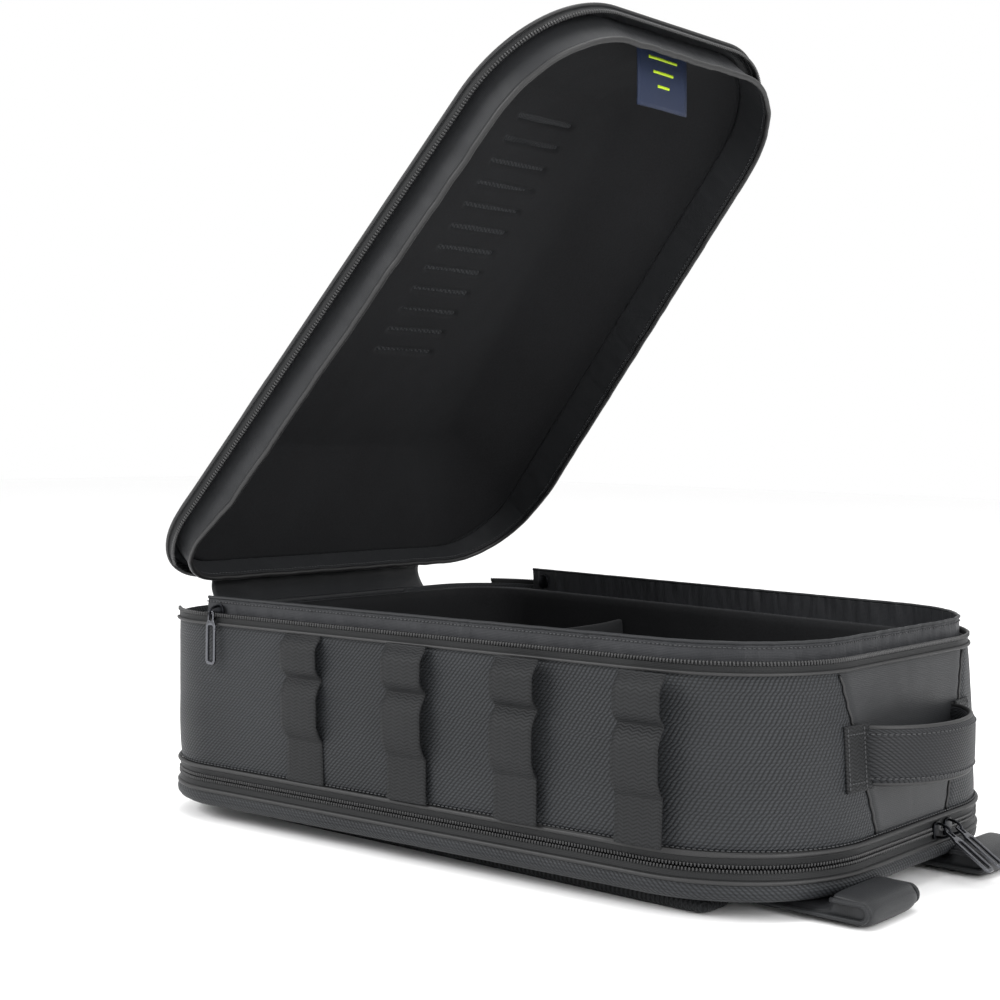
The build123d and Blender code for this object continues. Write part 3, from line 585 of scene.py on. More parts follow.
def band_rows(level, stations, x_min=None, spacing=3.0, wrinkle=None):
    """Rows of a cloth band; stations are (inset, height), and a wrinkle moves the cloth outward."""
    loop = from_hinge(full_outline(level, 0.0, spacing))
    if x_min is not None:
        loop = [item for item in loop if item[0].x > x_min]
    total = running([p for p, _ in loop])
    rows = []
    for index, (inset, z) in enumerate(stations):
        share = index / (len(stations) - 1)
        row = []
        for (p, n), s in zip(loop, total):
            extra = wrinkle(s, share) if wrinkle else 0.0
            q = p + n * (extra - inset)
            row.append(Vector((q.x, q.y, z)))
        rows.append(row)
    return rows


def band(name, level, start, end, steps, x_min, material, thickness, flip=False):
    """A band of cloth from one (inset, height) to another; without x_min it goes all the way round."""
    rows = band_rows(level, between(start, end, steps), x_min)
    return cloth_grid(name, rows, material, thickness, closed=x_min is None, flip=flip)


def between(start, end, count):
    """Stations from one (inset, height) to another."""
    return [
        (start[0] + (end[0] - start[0]) * k / count, start[1] + (end[1] - start[1]) * k / count)
        for k in range(count + 1)
    ]


def teeth(name, level, inset, z, size, x_min, shift=0.0):
    """Half of a nylon coil: one small loop for every turn, in a line round the case."""
    loop = [item for item in from_hinge(full_outline(level, 0.0, 3.0)) if item[0].x > x_min]
    line = [Vector((p.x - n.x * inset, p.y - n.y * inset, z)) for p, n in loop]
    frames = frames_along(line, outward, COIL_PITCH)
    frames = [(c + a * shift, a, w, o) for c, a, w, o in frames]
    return blocks(name, frames, size, COIL_NYLON)


ZIP_X = -225.0
LOWER_ZIP_X = -232.0
LIP_X = -185.0
COIL_PITCH = 2.1
COIL = (1.35, 3.0, 2.0)

# ---- rim zip, body half ----
tape = band("rim_tape_body", RIM, (0.2, 137.5), (0.5, 145.6), 5, ZIP_X, TAPE_CLOTH, 1.1, flip=True)
place(tape, "case", "zip_tape", "rim_zip_body")
coil = teeth("rim_coil_body", RIM, 0.4, 144.6, COIL, ZIP_X)
place(coil, "case", "zip_tape")
ledge = band("rim_ledge", RIM, (1.2, 139.2), (6.2, 138.0), 3, LIP_X, LIP_CLOTH, 0.8)
place(ledge, "case", "lip_nylon")
hem = tube("rim_seam", band_rows(RIM, [(-0.3, 138.6), (-0.3, 138.6)], ZIP_X)[0], 1.1, PIPING_NYLON)
place(hem, "case", "piping")


# ---- gathered lip ----
def gather(s, share):
    """Folds where the lip's cloth is drawn up along its bound edge."""
    grow = 0.25 + 0.75 * share
    folds = ripple((s, 0.0, share * 6.0), 6.5, 1.1, 1.0) + ripple((s, 4.0, share * 4.0), 2.6, 0.5, 5.0)
    return grow * folds - 0.4


LIP_TOP = 155.2
lip_stations = between((5.3, 120.0), (5.4, 139.0), 6) + between((5.5, 140.2), (6.5, LIP_TOP), 12)
lip_rows = band_rows(RIM, lip_stations, LIP_X, 1.3, gather)
lip = cloth_grid("gathered_lip", lip_rows, LIP_CLOTH, 0.6, flip=True)
place(lip, "case", "lip_nylon", "body_lip")
binding_line = [p + Vector((0, 0, 0.2)) for p in lip_rows[-1][::2]]
binding = tube("lip_binding", binding_line, 1.15, FLANGE_CLOTH, sides=6)
place(binding, "case", "lip_nylon")
lip_seam_line = [p + outward(p) * 0.5 for p in lip_rows[-3][::2]]
lip_seam = stitches("lip_seam", lip_seam_line, outward, pitch=2.8)
place(lip_seam, "case", "lip_nylon")

# ---- laptop compartment zip: two tapes with the coil closed between them ----
upper_tape = band("lower_tape_body", FOOT, (-0.6, 37.2), (0.6, 31.2), 5, LOWER_ZIP_X, TAPE_CLOTH, 1.2)
place(upper_tape, "case", "zip_tape", "lower_zip_body")
lower_tape = band("lower_tape_panel", FOOT, (0.6, 29.8), (-0.6, 23.8), 5, LOWER_ZIP_X, TAPE_CLOTH, 1.2)
place(lower_tape, "back_panel", "zip_tape", "lower_zip_panel")
CLOSED_COIL = (1.3, 2.6, 1.9)
for name, body, rise, shift in (
    ("lower_coil_body", "case", 1.35, 0.0),
    ("lower_coil_panel", "back_panel", -1.35, COIL_PITCH / 2),
):
    coil = teeth(name, FOOT, 0.2, LOWER_ZIP + rise, CLOSED_COIL, LOWER_ZIP_X, shift)
    place(coil, body, "zip_tape")
for name, z, seam_step, body, node in (
    ("body_welt", 38.2, 2.3, "case", "body_piping"),
    ("panel_welt", 22.6, -2.3, "back_panel", "panel_piping"),
):
    line = [Vector((p.x + n.x * 0.4, p.y + n.y * 0.4, z)) for p, n in full_outline(FOOT, 0.0, 5.0)]
    welt = tube(name, line, 1.5, PIPING_NYLON, closed=True, sides=10)
    place(welt, body, "piping", node)
    tuck_line = loop_at(FOOT, z + seam_step, 0.2, 5.0)
    tuck = stitches(f"{name}_stitch", tuck_line, outward, closed=True, pitch=3.2)
    place(tuck, body, "piping")


# ================= lid =================
LID_EDGE = 157.0
LID_CROWN = 206.0
LID_SLOPE = math.tan(math.radians(31.0))
CROWN_INSET = (LID_CROWN - LID_EDGE) / LID_SLOPE
CROWN = tuple(RIM[k] - 2 * CROWN_INSET for k in range(3)) + (25.0, 45.0)
SPINE_HINGE = -120.0
SPINE_HANDLE = 110.0
LID_COUNTS = (34, 60, 190, 44, 50)
RIB_FIRST = -68.0
RIB_PITCH = 18.7
RIB_COUNT = 12
RIB_HALF = 30.0
RIB_REACH = 4.6
CROWN_RUN = 80.0


def counted_half(level, counts):
    """The near half of a level with a fixed number of steps on each straight and corner."""
    half = level[0] / 2
    corners = []
    for (centre, radius, start, end), steps in zip(corner_arcs(level), (counts[1], counts[3])):
        turns = [start + (end - start) * k / steps for k in range(steps + 1)]
        corners.append([centre + Vector((math.cos(a), math.sin(a))) * radius for a in turns])

    def straight(a, b, steps):
        return [a.lerp(b, k / steps) for k in range(1, steps)]

    middle = Vector((half, 0.0))
    back = Vector((-half, 0.0))
    line = [middle] + straight(middle, corners[0][0], counts[0]) + corners[0]
    line += straight(corners[0][-1], corners[1][0], counts[2]) + corners[1]
    return line + straight(corners[1][-1], back, counts[4]) + [back]


def whole(half_line):
    return half_line + [Vector((p.x, -p.y)) for p in half_line[1:-1]][::-1]


rim_loop = whole(counted_half(RIM, LID_COUNTS))
crown_loop = whole(counted_half(CROWN, LID_COUNTS))
spine_loop = [Vector((min(max(p.x, SPINE_HINGE), SPINE_HANDLE), 0.0)) for p in crown_loop]


def lid_height(depth):
    """Height of the lid's outside at a distance in from its rim: rounded edge, slope, soft crown."""
    climb = LID_EDGE + LID_SLOPE * depth - 2.2 * math.exp(-depth / 3.0)
    middle, apart = (climb + LID_CROWN) / 2, (climb - LID_CROWN) / 2
    return middle - math.sqrt(apart * apart + 6.0) + 0.15


def lid_plan(index, depth):
    """Plan position at a distance in from the rim; past the crown's edge it runs to the spine."""
    if depth <= CROWN_INSET:
        return rim_loop[index].lerp(crown_loop[index], depth / CROWN_INSET)
    reach = (depth - CROWN_INSET) / CROWN_RUN
    return crown_loop[index].lerp(spine_loop[index], min(1.0, reach))


def rib(point):
    """1 on the middle line of a moulded rib, 0 clear of it."""
    number = round((point.x - RIB_FIRST) / RIB_PITCH)
    if number < 0 or number >= RIB_COUNT:
        return 0.0
    off = abs(point.x - RIB_FIRST - number * RIB_PITCH)
    past = max(0.0, abs(point.y) - RIB_HALF + 2.0)
    reach = math.hypot(off, past) / RIB_REACH
    return math.cos(reach * math.pi / 2) ** 2 if reach < 1 else 0.0


def lid_rows(depths, drop, relief, rough_amount, seed):
    """Rows of the lid's surface, lowered by the drop, with its ribs and the unevenness of cloth."""
    rows = []
    for depth in depths:
        base = lid_height(depth) - drop
        row = []
        for index in range(len(rim_loop)):
            p = lid_plan(index, depth)
            uneven = ripple((p.x, p.y, 0.0), 55.0, rough_amount, seed)
            uneven += ripple((p.x, p.y, 9.0), 17.0, rough_amount * 0.3, seed)
            row.append(Vector((p.x, p.y, base + relief * rib(p) + uneven)))
        rows.append(row)
    return rows


slope_steps = [CROWN_INSET * k / 34 for k in range(35)]
crown_steps = [CROWN_INSET + CROWN_RUN * k / 40 for k in range(1, 41)]
outer_rows = [[Vector((p.x, p.y, z)) for p in rim_loop] for z in (152.4, 153.6)]
outer_rows += lid_rows(slope_steps + crown_steps, 0.0, -1.0, 0.9, 11.0)
lid_outside = cloth_grid("lid_outside", outer_rows, LID_TWILL, 2.0, closed=True, flip=True)
place(open_lid(lid_outside), "lid", "lid_twill", "lid_shell")

LINING_EDGE = 9.4
lining_steps = [LINING_EDGE + (CROWN_INSET - LINING_EDGE) * k / 36 for k in range(37)] + crown_steps
lining_rows = lid_rows(lining_steps, 4.6, 2.6, 0.7, 21.0)
lid_bowl = cloth_grid("lid_bowl_lining", lining_rows, LINING, 1.0, closed=True)
place(open_lid(lid_bowl), "lid", "brushed_lining", "lid_lining")

# ---- flange that hangs inside the lid's rim, with a corded edge ----
FLANGE_HINGE_Z = 144.0
FLANGE_HANDLE_Z = 130.0
FLANGE_TOP = 158.5
FLANGE_STEPS = 14


def flange_foot(x):
    share = min(1.0, max(0.0, (x + 245.0) / 95.0))
    return FLANGE_HINGE_Z + (FLANGE_HANDLE_Z - FLANGE_HINGE_Z) * share


def flange_wave(s, share):
    broad = ripple((s, 0.0, share * 5.0), 16.0, 0.8, 31.0) * share
    return broad + ripple((s, 2.0, share * 9.0), 6.0, 0.3, 35.0)


flange_loop = band_rows(RIM, [(8.7, FLANGE_TOP), (8.7, FLANGE_TOP)], None, 2.2)[0]
flange_arc = running(flange_loop)
flange_rows = []
for k in range(FLANGE_STEPS + 1):
    share = k / FLANGE_STEPS
    row = []
    for p, s in zip(flange_loop, flange_arc):
        z = FLANGE_TOP + (flange_foot(p.x) - FLANGE_TOP) * share
        row.append(Vector((p.x, p.y, z)) + outward(p) * flange_wave(s, share))
    flange_rows.append(row)
flange = cloth_grid("lid_flange_cloth", flange_rows, FLANGE_CLOTH, 0.9, closed=True)
place(open_lid(flange), "lid", "lip_nylon", "lid_flange")
cord_line = [p - Vector((0, 0, 1.5)) for p in flange_rows[-1]]
corded_edge = tube("lid_corded_edge", cord_line, 1.9, PIPING_NYLON, closed=True, sides=10)
place(open_lid(corded_edge), "lid", "piping", "lid_rim_piping")
edge_seam_line = [p - outward(p) * 0.9 + Vector((0, 0, 2.4)) for p in flange_rows[-1]]
edge_seam = stitches("lid_edge_seam", edge_seam_line, lambda p: -outward(p), closed=True, pitch=3.0)
place(open_lid(edge_seam), "lid", "lip_nylon")

# ---- rim zip, lid half ----
lid_tape = band("rim_tape_lid", RIM, (0.5, 146.5), (0.2, 154.0), 5, ZIP_X, TAPE_CLOTH, 1.1, flip=True)
place(open_lid(lid_tape), "lid", "zip_tape", "rim_zip_lid")
lid_coil = teeth("rim_coil_lid", RIM, 0.4, 147.5, COIL, ZIP_X, COIL_PITCH / 2)
place(open_lid(lid_coil), "lid", "zip_tape")
lid_ledge = band("lid_ledge", RIM, (1.2, 154.8), (8.8, 157.6), 3, None, FLANGE_CLOTH, 0.5)
place(open_lid(lid_ledge), "lid", "lip_nylon")
lid_hem_line = [Vector((p.x + n.x * 0.4, p.y + n.y * 0.4, 153.8)) for p, n in full_outline(RIM, 0.0, 5.0)]
lid_hem = tube("lid_edge_welt", lid_hem_line, 1.3, PIPING_NYLON, closed=True)
place(open_lid(lid_hem), "lid", "piping")


# ================= propeller loops =================
BAND_CENTRES = (-94.0, -7.0, 78.0, 165.0)
BAND_HALF = 15.5
BAND_FLAT = 1.0
BAND_SWELL = 5.9
BAND_TOP = 138.5
BAND_FOOT = 40.0
SEWN_ROWS = (108.5, 67.4, 63.8, 42.6)
THREAD_FLOAT = (2.1, 0.8, 0.8)


def wall_half_width(x, z):
    length, hinge_width, handle_width, _, _ = level_at(z)
    return (hinge_width + (handle_width - hinge_width) * (x / length + 0.5)) / 2


def band_out(z):
    """How far the webbing stands off the wall at a height."""
    for top, low in ((135.0, 110.0), (107.0, 69.0)):
        if low < z < top:
            share = (top - z) / (top - low)
            return BAND_FLAT + BAND_SWELL * min(1.0, 1.25 * math.sin(math.pi * share) ** 0.7)
    return BAND_FLAT


LEAN = math.atan2((RIM[1] - RIM[2]) / 2, RIM[0])
for side_name, side in SIDES:
    normal = Vector((math.sin(LEAN), side * math.cos(LEAN), 0.0))
    along = Vector((math.cos(LEAN), -side * math.sin(LEAN), 0.0))
    for number, x in enumerate(BAND_CENTRES, start=1):
        rows = []
        for k in range(66):
            z = BAND_TOP - (BAND_TOP - BAND_FOOT) * k / 65
            base = Vector((x, side * wall_half_width(x, z), z))
            row = []
            for j in range(13):
                share = j / 6 - 1
                cup = 0.5 * (1 - share * share) + ripple((x + share * 9, z, side * 40.0), 13.0, 0.35, 2.0)
                row.append(base + along * (share * BAND_HALF) + normal * (band_out(z) + cup))
            rows.append(row)
        webbing = cloth_grid(f"loop_webbing_{side_name}_{number}", rows, WEBBING, 1.3, flip=side > 0)
        place(webbing, "case", "webbing", f"propeller_loop_{side_name}_{number}")
        sewn = []
        for z in SEWN_ROWS:
            start = Vector((x, side * wall_half_width(x, z), z))
            start += normal * (BAND_FLAT + 0.75) - along * (BAND_HALF - 2.2)
            line = [start, start + along * (2 * BAND_HALF - 4.4)]
            sewn += frames_along(line, lambda p: normal, 2.9)
        rows_of_thread = blocks(f"loop_stitches_{side_name}_{number}", sewn, THREAD_FLOAT, THREAD)
        place(rows_of_thread, "case", "webbing")

# ================= grab handle =================
HANDLE_Z = 88.0
HANDLE_HALF_WIDTH = 17.0
HANDLE_HALF_SPAN = 58.0
END_FACE = 249.0
HANDLE_REACH = 33.0
HANDLE_THICKNESS = 6.4


def handle_path(share):
    """Middle line of the handle's bow, in plan; share runs from the near to the far anchor."""
    y = -HANDLE_HALF_SPAN + 2 * HANDLE_HALF_SPAN * share
    bow = (1 - (y / HANDLE_HALF_SPAN) ** 2) ** 0.62 if abs(y) < HANDLE_HALF_SPAN else 0.0
    return Vector((END_FACE - 2.0 + (HANDLE_REACH - HANDLE_THICKNESS / 2 + 2.0) * bow, y, HANDLE_Z))


def padded_sweep(path, half_widths, thickness, up, roundness=0.35, ring=28):
    """A closed padded strip along a path: flat faces, full rounded edges."""
    verts, faces = [], []
    count = len(path)
    for i, p in enumerate(path):
        ahead = (path[min(i + 1, count - 1)] - path[max(i - 1, 0)]).normalized()
        across = (up - ahead * up.dot(ahead)).normalized()
        out = ahead.cross(across)
        for k in range(ring):
            turn = 2 * math.pi * k / ring
            c, s = math.cos(turn), math.sin(turn)
            w = math.copysign(abs(c) ** roundness, c) * half_widths[i]
            h = math.copysign(abs(s) ** 0.8, s) * thickness / 2
            verts.append(p + across * w + out * h)
    for i in range(count - 1):
        for k in range(ring):
            n = (k + 1) % ring
            faces.append((i * ring + k, i * ring + n, (i + 1) * ring + n, (i + 1) * ring + k))
    faces.append(tuple(range(ring))[::-1])
    faces.append(tuple((count - 1) * ring + k for k in range(ring)))
    return verts, faces


handle_line = [handle_path(0.5 - 0.5 * math.cos(math.pi * k / 70)) for k in range(71)]
UP = Vector((0, 0, 1))
verts, faces = padded_sweep(handle_line, [HANDLE_HALF_WIDTH - 1.0] * 71, HANDLE_THICKNESS, UP)
handle_uvs = [(v.y, v.z) for v in verts]
grip = mesh_object("padded_grip", verts, faces, HANDLE_CLOTH, handle_uvs)
place(grip, "case", "handle_webbing", "grab_handle")
for name, inner in (("top", -1), ("foot", 1)):
    z = HANDLE_Z - inner * (HANDLE_HALF_WIDTH - 0.8)
    line = [Vector((p.x, p.y, z)) for p in handle_line]
    cord = tube(f"grip_edge_{name}", line, 1.5, PIPING_NYLON, sides=8)
    place(cord, "case", "handle_webbing")
    seam = [Vector((p.x, p.y, z + inner * 3.4)) for p in handle_line]
    outside = []
    for i, p in enumerate(seam):
        ahead = (seam[min(i + 1, 70)] - seam[max(i - 1, 0)]).normalized()
        outside.append(p + ahead.cross(UP) * (HANDLE_THICKNESS / 2 - 0.1))
    row = stitches(f"grip_stitch_{name}", outside[3:-3], lambda p: Vector((1, p.y / 90, 0)), pitch=3.6)
    place(row, "case", "handle_webbing")

for side_name, side in SIDES:
    rows = []
    for k in range(16):
        z = HANDLE_Z - 19.0 + 38.0 * k / 15
        line = [q for q in loop_at(level_at(z), z, 0.0, 1.5) if q.x > 0]
        row = []
        for j in range(12):
            y = side * (56.5 + 24.0 * j / 11)
            near = min(line, key=lambda q: abs(q.y - y))
            out = outward(near)
            lift = 1.6 + 0.5 * math.sin(math.pi * j / 11) + (2.4 * (1 - j / 11) ** 3)
            row.append(Vector((near.x, y, z)) + out * lift)
        rows.append(row)
    tab = cloth_grid(f"handle_tab_{side_name}", rows, WEBBING, 1.8, flip=side < 0)
    place(tab, "case", "webbing")
    frames = []
    sewn = [[row[j] for row in rows[1:-1]] for j in (3, 10)] + [rows[k][3:11] for k in (2, 13)]
    for line in sewn:
        frames += frames_along([q + outward(q) * 0.15 for q in line], outward, 2.8)
    place(blocks(f"handle_tab_stitches_{side_name}", frames, THREAD_FLOAT, THREAD), "case", "webbing")
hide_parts("handle_tabs")

# ================= padded pieces =================
def swell(piece, voxel, pressure, cap):
    """Let a padded piece fill out as cloth under slight pressure, never further than the cap."""
    before = settle(piece, ("REMESH", {"mode": "VOXEL", "voxel_size": voxel * MM}))
    rest = [v.co.copy() for v in before.data.vertices]
    scene = bpy.context.scene
    cloth = piece.modifiers.new("swell", "CLOTH")
    cloth.settings.quality = 5
    cloth.settings.mass = 0.3
    cloth.settings.use_pressure = True
    cloth.settings.uniform_pressure_force = pressure
    cloth.settings.effector_weights.gravity = 0.0
    cloth.collision_settings.use_collision = False
    cloth.point_cache.frame_start = 1
    cloth.point_cache.frame_end = 20
    for number in range(1, 21):
        scene.frame_set(number)
    graph = bpy.context.evaluated_depsgraph_get()
    final = bpy.data.meshes.new_from_object(piece.evaluated_get(graph))
    piece.modifiers.clear()
    scene.frame_set(1)
    for vertex, start in zip(final.vertices, rest):
        move = vertex.co - start
        if move.length > cap * MM:
            vertex.co = start + move.normalized() * cap * MM
    piece.data = final
    settle(piece, ("SUBSURF", {"levels": 1, "render_levels": 1}))
    piece.data.shade_smooth()
    return piece


def unwrap_flat(piece, axis_u, axis_v):
    """Lay the weave on a piece along two directions, in its real size."""
    layer = piece.data.uv_layers.new(name="cloth")
    u, v = Vector(axis_u), Vector(axis_v)
    for loop in piece.data.loops:
        point = piece.data.vertices[loop.vertex_index].co
        layer.data[loop.index].uv = (point.dot(u), point.dot(v))
    return piece


def finish_pad(piece, body, slot, material, fill, *nodes):
    piece.data.materials.clear()
    piece.data.materials.append(material)
    place(piece, body, slot, *nodes)
    return piece


def level_pad(name, loops, material):
    """A closed pad from stacked loops of points, capped with a fan at both ends."""
    count = len(loops[0])
    verts = [p for loop in loops for p in loop]
    faces = []
    for i in range(len(loops) - 1):
        for j in range(count):
            n = (j + 1) % count
            faces.append((i * count + j, (i + 1) * count + j, (i + 1) * count + n, i * count + n))
    for row, flip in ((0, False), (len(loops) - 1, True)):
        middle = sum((Vector(p) for p in loops[row]), Vector()) / count
        verts.append(middle)
        tip = len(verts) - 1
        for j in range(count):
            n = (j + 1) % count
            face = (row * count + j, row * count + n, tip)
            faces.append(face[::-1] if flip else face)
    return mesh_object(name, verts, faces, material)


# ---- foam liner: its padded wall shows round the bays ----
liner_stations = [(11.6, 118.0), (11.6, 132.0), (12.0, 136.5), (13.4, 138.6), (15.2, 137.4), (15.9, 133.0)]
liner_stations += between((16.0, 128.0), (16.2, 47.0), 16)
liner_loop = full_outline(RIM, 0.0, 3.0)
liner_rows = []
for inset, z in liner_stations:
    row = []
    for (p, n), (q, _) in zip(liner_loop, full_outline(level_at(min(z, RIM_Z)), 0.0, 3.0)):
        level = level_at(min(z, RIM_Z))
        squeeze = Vector((p.x * level[0] / RIM[0], p.y * (level[1] + level[2]) / (RIM[1] + RIM[2])))
        out = 0.6 * math.sin(math.pi * min(1.0, max(0.0, (138.0 - z) / 92.0)))
        at = squeeze - n * (inset + out + ripple((p.x, p.y, z), 26.0, 0.5, 41.0))
        row.append(Vector((at.x, at.y, z)))
    liner_rows.append(row)
liner = cloth_grid("bay_wall_padding", liner_rows, LINING, 1.2, closed=True)
place(liner, "case", "brushed_lining", "foam_liner")

# ---- floor pad ----
floor_level = level_at(43.0)
floor_loops = []
for inset, z in ((17.5, 40.6), (16.2, 41.6), (15.8, 43.4), (16.4, 45.2), (19.0, 46.2), (30.0, 46.6)):
    floor_loops.append(loop_at(floor_level, z, inset, 5.0))
floor_pad = level_pad("bay_floor_padding", floor_loops, LINING)
swell(floor_pad, 5.0, 1.5, 1.6)
finish_pad(floor_pad, "case", "brushed_lining", LINING, 0.7, "floor_pad")

# ---- divider ----
DIVIDER_X = -78.0
divider_verts, divider_faces = padded_sweep(
    [Vector((DIVIDER_X, y, 86.0)) for y in [-156.5 + 313.0 * k / 60 for k in range(61)]],
    [39.0] * 61,
    8.6,
    Vector((0, 0, 1)),
    0.3,
)
divider = mesh_object("bay_divider_padding", divider_verts, divider_faces, LINING)
swell(divider, 4.0, 3.0, 1.8)
finish_pad(divider, "case", "brushed_lining", LINING, 0.7, "bay_divider")

# ---- hold-down strap, let down in the empty bay, with its hook-and-loop patch ----
STRAP_X = 38.0
STRAP_HALF = 24.0
strap_line = [(-155.0, 131.0), (-154.2, 100.0), (-153.6, 60.0), (-151.5, 50.5), (-146.0, 47.9)]
strap_line += [(-140.0 + 280.0 * k / 24, 47.9) for k in range(25)] + [(-y, z) for y, z in strap_line[::-1]]
strap_path = resample([Vector((STRAP_X, y, z)) for y, z in strap_line], 4.0)
strap_rows = []
for index, p in enumerate(strap_path):
    lean = ripple((0.0, p.y, p.z), 30.0, 1.2, 61.0)
    row = []
    for j in range(11):
        share = j / 5 - 1
        rise = 0.5 * ripple((share * 20, p.y, p.z), 20.0, 1.0, 62.0) + 0.3
        x = p.x + share * STRAP_HALF + lean
        row.append(Vector((x, p.y * (1 - rise * 0.004), p.z + max(0.0, rise))))
    strap_rows.append(row)
hold_strap = cloth_grid("hold_down_strap", strap_rows, WEBBING, 1.5, flip=True)
place(hold_strap, "case", "webbing", "drone_strap")
patch_rows = [row[1:-1] for row in strap_rows if abs(row[5].y - 62.0) < 45.0 and row[5].z < 55]
patch_rows = [[q + Vector((0, 0, 1.0)) for q in row] for row in patch_rows]
patch = cloth_grid("hook_and_loop_patch", patch_rows, MESH_CLOTH, 1.2, flip=True)
place(patch, "case", "webbing")

# ================= carrying side =================
# ---- back panel: padded cover under the laptop compartment ----
panel_stations = [(0.8, 23.6), (-0.6, 21.5), (-1.6, 18.5), (-1.2, 15.5), (0.8, 12.8), (4.5, 10.9)]
panel_stations += [(9.0, 10.25), (16.0, 10.1), (30.0, 10.1), (48.0, 10.1)]
panel_loops = []
for inset, z in panel_stations:
    loop = full_outline(FOOT, 0.0, 4.0)
    row = []
    for p, n in loop:
        uneven = ripple((p.x, p.y, z), 30.0, 0.8, 71.0) if 11 < z < 23 else 0.0
        row.append(Vector((p.x - n.x * (inset + uneven), p.y - n.y * (inset + uneven), z)))
    panel_loops.append(row)


def spine(loop, z):
    """The middle line that a flat face's loop shrinks to."""
    return [Vector((min(max(p.x, SPINE_HINGE), SPINE_HANDLE), 0.0, z)) for p in loop]


flat_middle = spine(panel_loops[-1], 10.1)
panel_loops.append([p.lerp(m, 0.5) for p, m in zip(panel_loops[-1], flat_middle)])
panel_loops.append(flat_middle)
panel_cover = cloth_grid("back_panel_cover", panel_loops, SIDE_TWILL, 1.2, closed=True)
place(panel_cover, "back_panel", "twill_nylon", "back_panel")
inner_loops = [loop_at(FOOT, z, inset, 6.0) for z, inset in ((23.4, 0.9), (23.9, 8.0), (23.9, 40.0))]
inner_loops.append(spine(inner_loops[-1], 23.9))
panel_inside = cloth_grid("laptop_bay_lining", inner_loops, LINING, 0.8, closed=True, flip=True)
place(panel_inside, "back_panel", "brushed_lining")

# ---- back pads ----
PAD_HALF = 199.0
for name, y, half, nodes in (
    ("centre", 0.0, 29.0, ("back_pads",)),
    ("near", -128.0, 17.0, ()),
    ("far", 128.0, 17.0, ()),
):
    loops = []
    for shrink, z in ((3.4, 0.7), (1.4, 1.8), (0.3, 4.5), (0.0, 7.0), (1.2, 9.6)):
        outline_points = []
        for corner_x, corner_y, start in ((1, 1, 0.0), (-1, 1, 0.5), (-1, -1, 1.0), (1, -1, 1.5)):
            radius = half * 0.5
            for k in range(9):
                turn = math.pi * (start + 0.5 * k / 8)
                centre = Vector((corner_x * (PAD_HALF - radius), y + corner_y * (half - radius), z))
                outline_points.append(centre + Vector((math.cos(turn), math.sin(turn), 0)) * (radius - shrink))
        loops.append(outline_points)
    pad = level_pad(f"back_pad_{name}", loops, MESH_CLOTH)
    swell(pad, 5.0, 3.0, 1.2)
    for vertex in pad.data.vertices:
        vertex.co.z = max(vertex.co.z, 0.0)
    unwrap_flat(pad, (1, 0, 0), (0, 1, 0))
    finish_pad(pad, "back_panel", "air_mesh", MESH_CLOTH, 0.7, *nodes)

# ---- shoulder straps: padded, tapered, folded up round the handle end ----
FOLD_X = 273.0
for side_name, side in SIDES:
    y = side * 76.0
    path = [Vector((-69.0 + (FOLD_X + 68.0) * k / 70, y, 4.7)) for k in range(71)]
    for k in range(1, 11):
        turn = math.pi * k / 10
        path.append(Vector((FOLD_X + 5.0 * math.sin(turn), y, 9.5 - 4.8 * math.cos(turn))))
    path += [Vector((FOLD_X - 18.0 * k / 6, y, 14.3)) for k in range(1, 7)]
    widths = []
    for index, p in enumerate(path):
        share = min(1.0, max(0.0, (p.x + 70.0) / 196.0))
        end = min(1.0, (index + 2) / 9)
        widths.append((24.0 + 6.0 * share) * math.sqrt(max(0.12, 1 - (1 - end) ** 2)))
    verts, faces = padded_sweep(path, widths, 8.0, Vector((0, 1, 0)), 0.4)
    strap = mesh_object(f"padded_strap_{side_name}", verts, faces, SIDE_TWILL)
    swell(strap, 4.0, 3.0, 0.9)
    for vertex in strap.data.vertices:
        vertex.co.z = max(vertex.co.z, 0.0002)
    unwrap_flat(strap, (1, 0, 0), (0, 1, 0))
    finish_pad(strap, "back_panel", "strap_cloth", PANEL_CLOTH, 0.6, f"shoulder_strap_{side_name}")
    for edge in (-1, 1):
        line = [p + Vector((0, edge * (w + 0.2), 0)) for p, w in zip(path, widths)][4:]
        where = "in" if edge * side < 0 else "out"
        piping = tube(f"strap_binding_{side_name}_{where}", line, 1.5, FLANGE_CLOTH, sides=6)
        place(piping, "back_panel", "strap_cloth")
    # webbing from the tail to the panel's foot, through a ladder lock
    rows = []
    for k in range(40):
        x = -99.0 - 117.0 * k / 39
        rise = 1.2 + 8.6 * min(1.0, max(0.0, -206 - x) / 8.0) ** 1.5
        z = rise + 0.9 + 0.25 * math.sin(x / 11.0)
        rows.append([Vector((x, y - 12.4 + 24.8 * j / 8, z)) for j in range(9)])
    tail = cloth_grid(f"adjuster_webbing_{side_name}", rows, WEBBING, 1.6, flip=side > 0)
    place(tail, "back_panel", "webbing", f"strap_webbing_{side_name}")

dress("base_board", BOARD)
for node in ("hinge_strip_body", "hinge_strip_lid", "panel_strip_body", "panel_strip"):
    dress(node, PANEL_CLOTH)
for node in ("ladder_lock_near", "ladder_lock_far"):
    dress(node, BUCKLE_ACETAL)

# ================= fabric hinges =================
def lid_point(x, z):
    """Where a point of the closed lid's middle plane lies in the rest pose."""
    run, rise = x - HINGE_X, z - HINGE_Z
    c, s = math.cos(LID_OPEN), math.sin(LID_OPEN)
    return Vector((HINGE_X + run * c - rise * s, 0.0, HINGE_Z + run * s + rise * c))


def fabric_hinge(name, rows, thickness, body, start, end, *nodes):
    """A strip of cloth, drawn in its bent rest shape, between the case and a body that turns; the body
    argument is not used.
    """
    strip = cloth_grid(name, rows, PANEL_CLOTH, thickness, flip=True)
    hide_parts(*nodes)
    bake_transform(strip)


